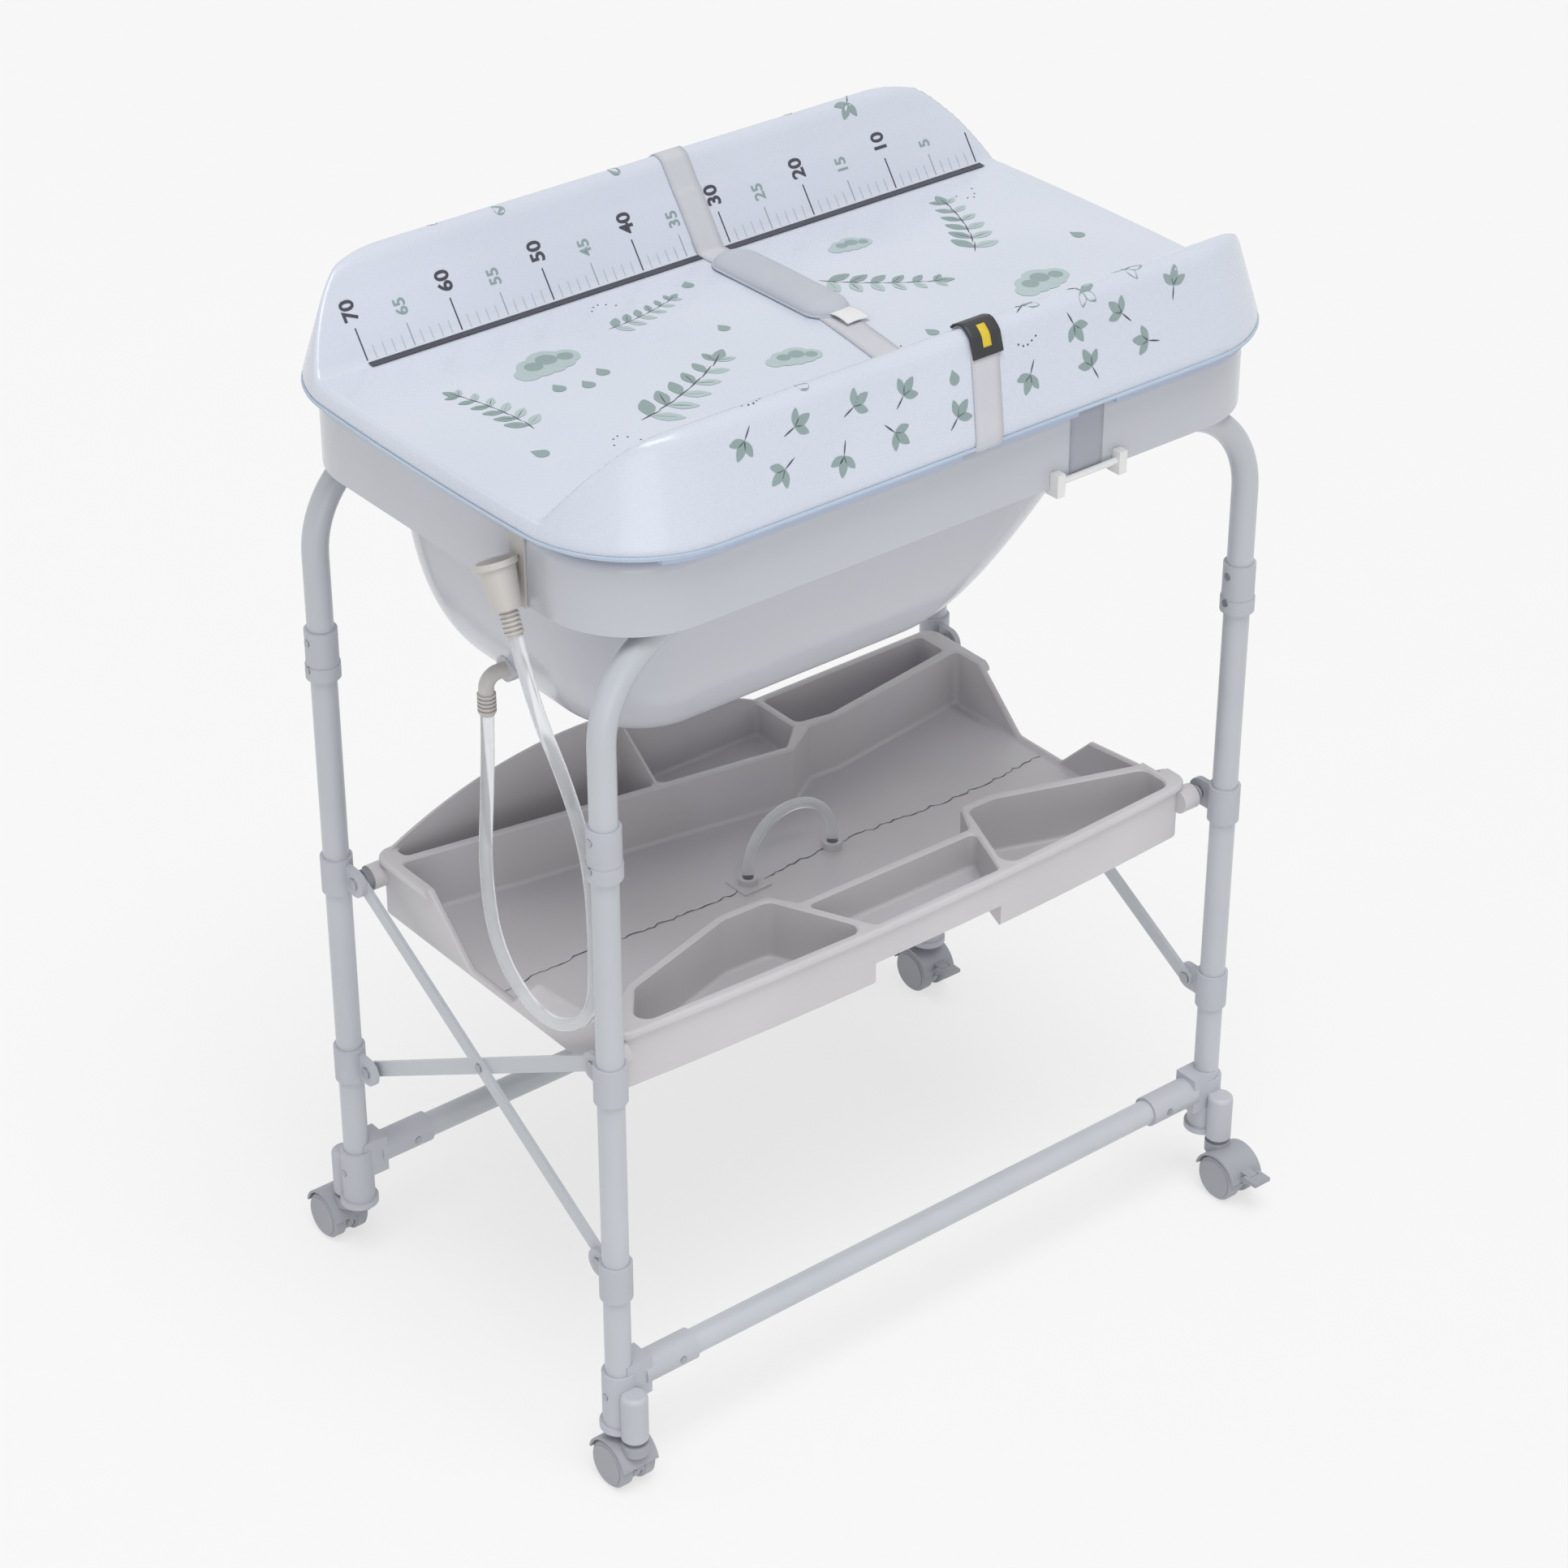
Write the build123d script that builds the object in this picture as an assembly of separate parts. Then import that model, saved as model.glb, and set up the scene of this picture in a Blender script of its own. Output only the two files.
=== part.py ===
from build123d import *
import math
import os

# Changing table with a bath tub, a storage tray and four casters, in millimetres.
# X runs along the length, Y from front to back, Z up. The origin is on the floor,
# midway between the four legs.

# Frame
leg_x = 370
leg_y = 216
tube_od = 25
tube_wall = 1.5
slip = 0.1
overrun = 5
arch_top_z = 888
arch_bend_radius = 100
leg_foot_z = 68
tube_joint_z = 689

# Sleeves that join the arches to the legs
sleeve_od = 31
sleeve_bottom_z = 662
sleeve_height = 50
sleeve_band_od = 33
sleeve_band_height = 14

# Collars with an ear for the struts
collar_od = 31
collar_height = 38
mid_collar_z = 448
low_collar_z = 230
ear_reach = 28
ear_radius = 14
ear_thickness = 6
ear_start = 0

# Struts
strut_width = 15
strut_thickness = 4
strut_end_radius = 8

# Bolts and rivets
bolt_diameter = 8
bolt_head_diameter = 12
bolt_head_height = 2
rivet_diameter = 5
rivet_head_diameter = 9
rivet_head_height = 1.5
screw_diameter = 4
screw_head_diameter = 7
screw_head_height = 1.5
screw_seat = 0.8
sleeve_screw_inset = 11
fitting_screw_z = 100

# Corner fittings
fitting_bottom_z = 60
fitting_height = 64
fitting_od = 32
fitting_lip_od = 38
fitting_lip_height = 6
fitting_block_depth = 27
fitting_block_height = 40
fitting_sleeve_start = 22
fitting_sleeve_end = 82
fitting_sleeve_od = 31
fitting_tube_seat = 44
bottom_tube_z = 113
caster_offset = 23
stem_socket_od = 26
stem_socket_height = 50
stem_socket_edge = 5

# Casters
wheel_diameter = 48
wheel_width = 15
wheel_inner_gap = 5
wheel_edge = 2.5
wheel_cap_diameter = 40
wheel_cap_step = 1
axle_diameter = 7
axle_clearance = 0.05
caster_trail = 18
hood_clearance = 1.4
hood_wall = 2.4
hood_top_z = 55
hood_cut_height = 6
web_thickness = 8
web_radius = 21
stem_diameter = 11
stem_length = 36
stem_boss_radius = 13
stem_boss_height = 12
stem_collar_diameter = 18
brake_lug_width = 12
brake_lug_diameter = 8
brake_lug_reach = 5
brake_pin_z = 36
brake_pin_diameter = 4
brake_cheek_thickness = 4
brake_paddle_length = 12
brake_paddle_thickness = 4
brake_gap = 0.3

# Tub
rim_over_leg_x = 8
rim_over_leg_y = 27
rim_half_x = leg_x + rim_over_leg_x
rim_half_y = leg_y + rim_over_leg_y
rim_width = 43
rim_corner_radius = 88
rim_top_z = 957
skirt_bottom_z = 888
tub_wall = 3.5
rim_edge_radius = 11
rim_inner_edge_radius = 9
basin_half_x = rim_half_x - rim_width
basin_half_y = rim_half_y - rim_width
basin_corner_radius = 85
ledge_z = 915
ledge_inset_x = 4
ledge_inset_y = 11
ledge_half_x = basin_half_x - ledge_inset_x
ledge_half_y = basin_half_y - ledge_inset_y
tub_floor_z = 715
deep_level_shares = [0, 0.275, 0.575, 0.85, 1]
deep_left_shares = [1, 0.994, 0.979, 0.924, 0.821]
deep_right_shares = [0.97, 0.81, 0.613, 0.438, 0.296]
deep_half_y_shares = [1, 0.958, 0.899, 0.788, 0.614]
deep_left_radius_shares = [1, 1, 1, 0.94, 0.71]
deep_right_radius_shares = [1, 0.88, 0.75, 0.63, 0.44]
deep_right_radius = 160
saddle_x = 215
saddle_thickness = 6
saddle_gap = 0.3
drain_z = 747
drain_bore = 10
drain_boss_diameter = 24
drain_boss_inset = 14
drain_boss_x = ledge_half_x - drain_boss_inset
drain_boss_depth = 22

# Drain elbow, hose and hose ends
elbow_od = 14
elbow_bend_radius = 12
elbow_reach = 20
elbow_x = drain_boss_x + elbow_reach
elbow_drop = 14
hose_od = 12.5
connector_od = 14
connector_rib_od = 17
connector_rib_count = 5
connector_length = 24
connector_rib_share = 0.5
hose_points = [
    (-337, 0, 709),
    (-341, -3, 650),
    (-360, -18, 560),
    (-366, -45, 486),
    (-364, -112, 447.6),
    (-360, -179, 486),
    (-359, -184, 570),
    (-362, -182, 660),
    (-378, -172, 742),
    (-398, -161, 812),
]
limp_radius_in_diameters = 3
run_share = 0.45

# Holder cup on the left rim
cup_top_od = 36
cup_bottom_od = 25
cup_height = 42
cup_wall = 2
cup_floor = 3
cup_band_od = 40
cup_band_height = 5
cup_tilt = 24
cup_bottom_y = -127
cup_bottom_z = 891
cup_sink = 1
clip_width = 20
clip_thickness = 2
clip_gap = 0.3
clip_lap = 22
clip_hook = 8

# Changing pad
pad_gap = 0.5
pad_over_rim_x = 9
pad_over_rim_y = 19
pad_half_x = rim_half_x + pad_over_rim_x
pad_half_y = rim_half_y + pad_over_rim_y
pad_corner_radius = 118
pad_end_bow = 10
pad_base_height = 6
pad_base_inset = 6
flat_height = 22
bolster_width = 97
flat_half_y = pad_half_y - bolster_width
bolster_height = 80
bolster_ridge_inset = 34
bolster_ridge_y = pad_half_y - bolster_ridge_inset
bolster_ridge_half_width = 9
bolster_end_radius = 72
groove_depth = 3.7
groove_side = 3
end_groove_inset = 10
end_groove_x = basin_half_x - end_groove_inset

# Belt on the pad
belt_width = 30
belt_thickness = 1.6
belt_back_x = 42
belt_front_x = 20
belt_front_inset = 72
belt_front_y = pad_half_y - belt_front_inset
belt_cover_length = 168
belt_cover_width = 46
belt_cover_height = 11
belt_cover_inset = 19
belt_cover_back_y = flat_half_y - belt_cover_inset
belt_cover_radius = 20
loop_width = 38
loop_thickness = 5
loop_share = 0.36

# Pad hanger behind the tub
hanger_y = pad_half_y
hanger_z = 945
hanger_pin_diameter = 5
hanger_knuckle_diameter = 11
hanger_width = 30
hanger_leaf_length = 38
hanger_leaf_thickness = 2.6
hanger_leaf_lift = 0.6
hanger_web_depth = 6
hanger_gap = 0.3
lug_thickness = 8
lug_diameter = 15

# Tray
tray_end_gap = 30
tray_half_x = leg_x - tray_end_gap
tray_half_y = leg_y - ear_reach
tray_front_bow = 12
tray_corner_radius = 12
tray_rim_over_bolts = 23
tray_rim_z = mid_collar_z + tray_rim_over_bolts
tray_wall = 3
tray_depth = 65
tray_lip = 5
tray_lip_height = 9
tray_lip_round = 3.4
tray_foot_bevel = 3
pocket_flare = 2
pocket_foot_round = 4.5
shallow_depth = 38
dip_y_shares = [0.56, 0.23, -0.11, -0.33, -0.8, -0.86]
dip_depth_shares = [0, 0.93, 0.93, 0.26, 0.12, 0]
mouth_flare = 2
end_wall_share = 0.02
dip_radius = 11
pocket_radius = 6
front_pocket_radius = 12
back_panel_shares = [-0.97, -0.165, 0.33]
back_panel_height = 50
tray_sleeve_od = 25
tray_sleeve_start = 17
tray_sleeve_inside = 6
bush_od = 21

# Outlines of the tray's pockets, as shares of its half length and half width.
# A Y share of one or minus one means the inside of the back or front wall.
front_left_shares = [(-0.95, -1), (-0.84, -0.74), (-0.46, -0.545), (-0.31, -0.555), (-0.18, -1)]
front_middle_shares = [(-0.155, -1), (-0.245, -0.7), (0.355, -0.715), (0.285, -1)]
front_right_shares = [(0.31, -1), (0.42, -0.525), (0.52, -0.53), (0.955, -0.8), (0.955, -1)]
back_left_shares = [(-0.95, 0.9), (-0.187, 0.66), (-0.187, 1), (-0.95, 1)]
back_middle_shares = [(-0.165, 0.652), (0.235, 0.53), (0.322, 0.67), (0.322, 1), (-0.165, 1)]
back_right_shares = [(0.345, 0.69), (0.45, 0.655), (0.955, 0.79), (0.955, 1), (0.345, 1)]
trough_back_shares = [
    (end_wall_share - 1, 0.86), (0.24, 0.485), (0.36, 0.62), (0.46, 0.61), (1 - end_wall_share, 0.74),
]
trough_front_shares = [
    (1 - end_wall_share, -0.76), (0.53, -0.49), (0.41, -0.485), (0.355, -0.67), (-0.25, -0.66),
    (-0.3, -0.515), (-0.465, -0.505), (-0.85, -0.7), (end_wall_share - 1, -0.86),
]

# Clear arch handle in the tray
handle_span = 104
handle_height = 60
handle_od = 11
handle_x = 8
handle_y = 4
handle_boss_diameter = 19
handle_boss_height = 8
handle_plate = 32
handle_plate_thickness = 2

# Bath cushion
pillow_height_shares = [-1, -0.82, -0.45, 0, 0.45, 0.82, 1]
pillow_width_shares = [0.5, 0.78, 0.95, 1, 0.95, 0.78, 0.5]
back_rest_x = 150
back_rest_z = 852
back_rest_radii = (136, 122, 40)
back_rest_tilt = 30
cushion_ear_x = 258
cushion_ear_y = 82
cushion_ear_z = 921
cushion_ear_radii = (30, 30, 13)
leg_rest_x = -72
leg_rest_z = 794
leg_rest_radii = (92, 120, 40)
leg_rest_tilt = -8
cushion_seat_x = 26
cushion_seat_z = 776
cushion_seat_radii = (70, 98, 24)
cushion_gap = 0.3
strap_width = 38
strap_thickness = 1.4
strap_x = 140
strap_end_y = -48
strap_gap = 0.3
strap_start_inset = 30
strap_bend = 8
strap_rim_inset = 4
hook_bar_length = 64
hook_bar_diameter = 6
hook_bar_lift = 6
hook_tab_width = 9
hook_tab_depth = 10
hook_tab_height = 22
hook_lip_height = 6
hook_lip_reach = 6

corners = {"fl": (-1, -1), "fr": (1, -1), "bl": (-1, 1), "br": (1, 1)}
caster_headings = {"fl": 1, "fr": -1, "bl": 1, "br": -1}
braked = ("fr", "br")

pieces = {}


def cylinder_x(diameter, x_start, x_end, y, z):
    length = x_end - x_start
    return Pos((x_start + x_end) / 2, y, z) * Rot(0, 90, 0) * Cylinder(diameter / 2, length)


def cylinder_z(diameter, z_start, z_end, x, y):
    return Pos(x, y, (z_start + z_end) / 2) * Cylinder(diameter / 2, z_end - z_start)


def block(x_start, x_end, y_start, y_end, z_start, z_end):
    centre = Pos((x_start + x_end) / 2, (y_start + y_end) / 2, (z_start + z_end) / 2)
    return centre * Box(abs(x_end - x_start), abs(y_end - y_start), abs(z_end - z_start))


def inboard(side, distance):
    """X of a plane at a distance inboard of the leg axis on one side."""
    return side * (leg_x - distance)


def span_x(side, near, far):
    """The two X values, in rising order, of a span inboard of a leg."""
    return sorted((inboard(side, near), inboard(side, far)))


# Frame tubes
def arch(front):
    y = front * leg_y
    corner_points = [
        (-leg_x, y, tube_joint_z),
        (-leg_x, y, arch_top_z),
        (leg_x, y, arch_top_z),
        (leg_x, y, tube_joint_z),
    ]
    path = FilletPolyline(*corner_points, radius=arch_bend_radius)
    section = Plane(origin=path @ 0, z_dir=path % 0)
    outer = sweep(section * Circle(tube_od / 2), path=path)
    return outer - sweep(section * Circle(tube_od / 2 - tube_wall), path=path)


def leg(side, front):
    x, y = side * leg_x, front * leg_y
    tube = cylinder_z(tube_od, leg_foot_z, tube_joint_z, x, y)
    return tube - cylinder_z(tube_od - 2 * tube_wall, leg_foot_z - overrun, tube_joint_z + overrun, x, y)


def bottom_tube(front):
    y = front * leg_y
    end = leg_x - fitting_tube_seat
    tube = cylinder_x(tube_od, -end, end, y, bottom_tube_z)
    return tube - cylinder_x(tube_od - 2 * tube_wall, -end - overrun, end + overrun, y, bottom_tube_z)


# Plastic joints on the frame
def sleeve(side, front):
    x, y = side * leg_x, front * leg_y
    top = sleeve_bottom_z + sleeve_height
    body = cylinder_z(sleeve_od, sleeve_bottom_z, top, x, y)
    body += cylinder_z(sleeve_band_od, sleeve_bottom_z, sleeve_bottom_z + sleeve_band_height, x, y)
    bore = cylinder_z(tube_od + 2 * slip, sleeve_bottom_z - overrun, top + overrun, x, y)
    return body - bore


def collar(side, front, z):
    x, y = side * leg_x, front * leg_y
    ear_y = front * (leg_y - ear_reach)
    x_low, x_high = span_x(side, ear_start, ear_start + ear_thickness)
    body = cylinder_z(collar_od, z - collar_height / 2, z + collar_height / 2, x, y)
    body += cylinder_x(2 * ear_radius, x_low, x_high, ear_y, z)
    body += block(x_low, x_high, min(ear_y, y), max(ear_y, y), z - ear_radius, z + ear_radius)
    body -= cylinder_z(tube_od + 2 * slip, z - collar_height, z + collar_height, x, y)
    return body - cylinder_x(bolt_diameter + 2 * slip, x_low - overrun, x_high + overrun, ear_y, z)


def corner_fitting(side, front):
    x, y = side * leg_x, front * leg_y
    top = fitting_bottom_z + fitting_height
    stem_y = y + front * caster_offset
    socket_top = fitting_bottom_z + stem_socket_height
    stem_socket = cylinder_z(stem_socket_od, fitting_bottom_z, socket_top, x, stem_y)
    stem_socket = fillet(stem_socket.edges().group_by(Axis.Z)[-1], stem_socket_edge)
    body = cylinder_z(fitting_od, fitting_bottom_z, top, x, y) + stem_socket
    body += cylinder_z(fitting_lip_od, fitting_bottom_z, fitting_bottom_z + fitting_lip_height, x, y)
    block_low, block_high = span_x(side, 0, fitting_sleeve_start + fitting_lip_height)
    half_depth = fitting_block_depth / 2
    half_height = fitting_block_height / 2
    body += block(
        block_low, block_high, y - half_depth, y + half_depth,
        bottom_tube_z - half_height, bottom_tube_z + half_height,
    )
    sleeve_low, sleeve_high = span_x(side, fitting_sleeve_start, fitting_sleeve_end)
    body += cylinder_x(fitting_sleeve_od, sleeve_low, sleeve_high, y, bottom_tube_z)
    bore_low, bore_high = span_x(side, fitting_tube_seat, fitting_sleeve_end + overrun)
    body -= cylinder_x(tube_od + 2 * slip, bore_low, bore_high, y, bottom_tube_z)
    body -= cylinder_z(tube_od + 2 * slip, leg_foot_z, bottom_tube_z + fitting_height, x, y)
    stem_top = fitting_bottom_z + stem_length
    return body - cylinder_z(stem_diameter + 2 * slip, fitting_bottom_z - overrun, stem_top, x, stem_y)


# Struts, bolts, rivets and screws
def strut(side, back_z, front_z, start):
    reach = leg_y - ear_reach
    rise = back_z - front_z
    length = math.hypot(2 * reach, rise)
    angle = math.degrees(math.atan2(rise, 2 * reach))
    x_middle = inboard(side, start + strut_thickness / 2)
    bar = Box(strut_thickness, length, strut_width)
    for end in (-1, 1):
        bar += Pos(0, end * length / 2, 0) * Rot(0, 90, 0) * Cylinder(strut_end_radius, strut_thickness)
        hole = Cylinder(bolt_diameter / 2 + slip, 2 * strut_thickness)
        bar -= Pos(0, end * length / 2, 0) * Rot(0, 90, 0) * hole
    bar -= Rot(0, 90, 0) * Cylinder(rivet_diameter / 2 + slip, 2 * strut_thickness)
    middle_z = (back_z + front_z) / 2
    return Pos(x_middle, 0, middle_z) * Rot(angle, 0, 0) * bar


def pivot_bolt(side, front, z, outer_strut):
    """A bolt through an ear and a strut end, with a spacer where the strut lies inboard."""
    y = front * (leg_y - ear_reach)
    strut_start = ear_start + ear_thickness + (0 if outer_strut else strut_thickness)
    strut_end = strut_start + strut_thickness
    at_tray = z == mid_collar_z
    tip = bolt_tip() - slip if at_tray else strut_end + bolt_head_height
    shank_low, shank_high = span_x(side, ear_start - bolt_head_height, tip)
    bolt = cylinder_x(bolt_diameter, shank_low, shank_high, y, z)
    head_low, head_high = span_x(side, ear_start - bolt_head_height, ear_start)
    bolt += cylinder_x(bolt_head_diameter, head_low, head_high, y, z)
    if not outer_strut:
        spacer_low, spacer_high = span_x(side, ear_start + ear_thickness, strut_start)
        bolt += cylinder_x(bolt_head_diameter, spacer_low, spacer_high, y, z)
    if not at_tray:
        nut_low, nut_high = span_x(side, strut_end, strut_end + bolt_head_height)
        bolt += cylinder_x(bolt_head_diameter, nut_low, nut_high, y, z)
    return bolt


def pivot_bolts():
    bolts = []
    for side, front in corners.values():
        for z in (mid_collar_z, low_collar_z):
            outer_strut = (front > 0) == (z == mid_collar_z)
            bolts.append(pivot_bolt(side, front, z, outer_strut))
    return Compound(children=bolts)


def strut_rivets():
    rivets = []
    z = (mid_collar_z + low_collar_z) / 2
    first = ear_start + ear_thickness
    last = first + 2 * strut_thickness
    for side in (-1, 1):
        low, high = span_x(side, first - rivet_head_height, last + rivet_head_height)
        rivet = cylinder_x(rivet_diameter, low, high, 0, z)
        for near in (first - rivet_head_height, last):
            head_low, head_high = span_x(side, near, near + rivet_head_height)
            rivet += cylinder_x(rivet_head_diameter, head_low, head_high, 0, z)
        rivets.append(rivet)
    return Compound(children=rivets)


def through_bolt(direction, reach):
    """A bolt across a round joint, its two heads sunk in shallow seats, and the cut it needs."""
    inner_face = reach - screw_seat
    shank = cylinder_x(screw_diameter, -inner_face, inner_face, 0, 0)
    cut = cylinder_x(screw_diameter + 2 * slip, -reach, reach, 0, 0)
    for side in (-1, 1):
        low, high = sorted((side * inner_face, side * (inner_face + screw_head_height)))
        shank += cylinder_x(screw_head_diameter, low, high, 0, 0)
        low, high = sorted((side * inner_face, side * (reach + overrun)))
        cut += cylinder_x(screw_head_diameter + 2 * slip, low, high, 0, 0)
    turn = Rot(0, 0, 0 if direction == "x" else 90)
    return turn * shank, turn * cut


def fasten(names, place, direction, reach):
    """Adds a through bolt at a place and cuts its hole in the named pieces."""
    bolt, cut = through_bolt(direction, reach)
    for name in names:
        pieces[name] = pieces[name] - place * cut
    screws.append(place * bolt)


# Casters
def hood(side, front, heading, has_brake):
    """The fork and hood of one caster, with its stem, at the place where it stands."""
    axle_z = wheel_diameter / 2
    inner = wheel_diameter / 2 + hood_clearance
    outer = inner + hood_wall
    half_width = wheel_inner_gap + wheel_width
    shell = cylinder_x(2 * outer, -half_width, half_width, caster_trail, axle_z)
    shell -= cylinder_x(2 * inner, -half_width - overrun, half_width + overrun, caster_trail, axle_z)
    shell -= block(
        -half_width - overrun, half_width + overrun,
        caster_trail - 2 * outer, caster_trail + 2 * outer,
        -overrun, axle_z + hood_cut_height,
    )
    half_web = web_thickness / 2
    web = cylinder_x(2 * inner, -half_web, half_web, caster_trail, axle_z)
    web -= block(-half_web, half_web, caster_trail - inner, caster_trail + inner, -overrun, axle_z)
    web += cylinder_x(2 * web_radius, -half_web, half_web, caster_trail, axle_z)
    boss = cylinder_z(2 * stem_boss_radius, hood_top_z - stem_boss_height, hood_top_z, 0, 0)
    boss -= cylinder_x(2 * inner, -half_width, half_width, caster_trail, axle_z)
    body = shell + web + boss
    if has_brake:
        body += brake_lug(axle_z)[0]
    socket_gap = fitting_bottom_z - hood_top_z - slip
    body += cylinder_z(stem_collar_diameter, hood_top_z, hood_top_z + socket_gap, 0, 0)
    body += cylinder_z(stem_diameter, hood_top_z, fitting_bottom_z + stem_length - slip, 0, 0)
    body -= cylinder_x(axle_diameter + 2 * axle_clearance, -half_width, half_width, caster_trail, axle_z)
    return place_caster(body, side, front, heading)


def place_caster(body, side, front, heading):
    turn = 0 if heading > 0 else 180
    return Pos(side * leg_x, front * (leg_y + caster_offset), 0) * Rot(0, 0, turn) * body


def wheels(side, front, heading):
    """The two wheels of a caster on their common axle."""
    axle_z = wheel_diameter / 2
    outer_face = wheel_inner_gap + wheel_width
    body = cylinder_x(axle_diameter, -outer_face, outer_face, caster_trail, axle_z)
    for end in (-1, 1):
        low, high = sorted((end * wheel_inner_gap, end * outer_face))
        tread = cylinder_x(wheel_diameter, low, high, caster_trail, axle_z)
        tread = chamfer(tread.edges().filter_by(GeomType.CIRCLE), wheel_edge)
        low, high = sorted((end * outer_face, end * (outer_face + wheel_cap_step)))
        body += tread + cylinder_x(wheel_cap_diameter, low, high, caster_trail, axle_z)
    return place_caster(body, side, front, heading)


def brake_lug(axle_z):
    """The round lug on the hood that carries the brake pedal."""
    y = caster_trail + wheel_diameter / 2 + hood_clearance + hood_wall + brake_lug_reach - brake_gap
    half = brake_lug_width / 2
    lug = cylinder_x(brake_lug_diameter, -half, half, y, brake_pin_z)
    low, high = brake_pin_z - brake_lug_diameter / 2, brake_pin_z + brake_lug_diameter / 2
    lug += block(-half, half, caster_trail, y, low, high)
    lug -= cylinder_x(2 * (wheel_diameter / 2 + hood_clearance), -half, half, caster_trail, axle_z)
    return lug - cylinder_x(brake_pin_diameter + 2 * axle_clearance, -half, half, y, brake_pin_z), y


def brake(side, front, heading):
    """The pedal with its two cheeks and its pin."""
    y = brake_lug(wheel_diameter / 2)[1]
    inner = brake_lug_width / 2 + brake_gap
    outer = inner + brake_cheek_thickness
    body = cylinder_x(brake_pin_diameter, -outer, outer, y, brake_pin_z)
    top = brake_pin_z + brake_lug_diameter / 2
    paddle_start = y + brake_lug_diameter / 2 + brake_gap
    for end in (-1, 1):
        low, high = sorted((end * inner, end * outer))
        body += cylinder_x(brake_lug_diameter, low, high, y, brake_pin_z)
        body += block(low, high, y, paddle_start + brake_pin_diameter, brake_pin_z, top)
    paddle = block(
        -outer, outer, paddle_start, paddle_start + brake_paddle_length,
        top - brake_paddle_thickness, top,
    )
    return place_caster(body + paddle, side, front, heading)


# Tub
def plan(z, left, right, half_y, left_radius, right_radius):
    """A flat outline at a height, with its own corner radius at each end."""
    face = Pos((left + right) / 2, 0, z) * Rectangle(right - left, 2 * half_y)
    for at_left, radius in ((True, left_radius), (False, right_radius)):
        ends = [v for v in face.vertices() if (v.X < (left + right) / 2) == at_left]
        ends = [v for v in ends if abs(abs(v.Y) - half_y) < slip]
        face = fillet(ends, radius)
    return face


def rounded_block(half_x, half_y, radius, z_start, z_end):
    return Pos(0, 0, z_start) * extrude(RectangleRounded(2 * half_x, 2 * half_y, radius), z_end - z_start)


def upper_basin(offset):
    """The straight part of the basin, from the rim down to the ledge."""
    top_z = rim_top_z + (overrun if offset == 0 else -offset)
    top = plan(
        top_z, -basin_half_x - offset, basin_half_x + offset, basin_half_y + offset,
        basin_corner_radius + offset, basin_corner_radius + offset,
    )
    low = plan(
        ledge_z - offset, -ledge_half_x - offset, ledge_half_x + offset, ledge_half_y + offset,
        basin_corner_radius + offset, basin_corner_radius + offset,
    )
    return loft([low, top], ruled=True)


def deep_basin(offset):
    """The deep part, whose right end leans back for a seat."""
    sections = []
    for index, level_share in enumerate(deep_level_shares):
        z = ledge_z - level_share * (ledge_z - tub_floor_z)
        lowest = level_share == deep_level_shares[-1]
        sections.append(plan(
            z - (offset if lowest else 0),
            -ledge_half_x * deep_left_shares[index] - offset,
            ledge_half_x * deep_right_shares[index] + offset,
            ledge_half_y * deep_half_y_shares[index] + offset,
            basin_corner_radius * deep_left_radius_shares[index] + offset,
            deep_right_radius * deep_right_radius_shares[index] + offset,
        ))
    return loft(sections[::-1])


def saddles():
    """Ribs inside the hollow rim that stand on the two arches."""
    ribs = []
    low_z = arch_top_z + tube_od / 2 + saddle_gap
    half = saddle_thickness / 2
    for x in (-saddle_x, saddle_x):
        for front in (-1, 1):
            y_low, y_high = sorted((front * (ledge_half_y + tub_wall), front * (rim_half_y - tub_wall / 2)))
            ribs.append(block(x - half, x + half, y_low, y_high, low_z, rim_top_z - tub_wall / 2))
    return ribs


def hanger_lugs():
    lugs = []
    near = hanger_width / 2 + hanger_gap
    for end in (-1, 1):
        low, high = sorted((end * near, end * (near + lug_thickness)))
        lug = cylinder_x(lug_diameter, low, high, hanger_y, hanger_z)
        half = lug_diameter / 2
        lug += block(low, high, rim_half_y - tub_wall / 2, hanger_y, hanger_z - half, hanger_z + half)
        lugs.append(lug - cylinder_x(hanger_pin_diameter + 2 * axle_clearance, low, high, hanger_y, hanger_z))
    return lugs


def tub():
    body = rounded_block(rim_half_x, rim_half_y, rim_corner_radius, skirt_bottom_z, rim_top_z)
    body = fillet(body.edges().group_by(Axis.Z)[-1], rim_edge_radius)
    hollow = rounded_block(
        rim_half_x - tub_wall, rim_half_y - tub_wall, rim_corner_radius - tub_wall,
        skirt_bottom_z - overrun, rim_top_z - tub_wall,
    )
    hollow = fillet(hollow.edges().group_by(Axis.Z)[-1], rim_edge_radius - tub_wall)
    body = body - hollow
    body += upper_basin(tub_wall) + deep_basin(tub_wall)
    body += cylinder_x(drain_boss_diameter, -drain_boss_x, -drain_boss_x + drain_boss_depth, 0, drain_z)
    body = body - upper_basin(0) - deep_basin(0)
    top_edges = body.edges().filter_by_position(Axis.Z, rim_top_z - slip, rim_top_z + slip)
    inner = [e for e in top_edges if abs(e.center().Y) < basin_half_y + slip
             and abs(e.center().X) < basin_half_x + slip]
    body = fillet(inner, rim_inner_edge_radius)
    for rib in saddles() + hanger_lugs():
        body += rib
    return body - cylinder_x(drain_bore, -drain_boss_x - overrun, -basin_half_x / 2, 0, drain_z)


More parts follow.
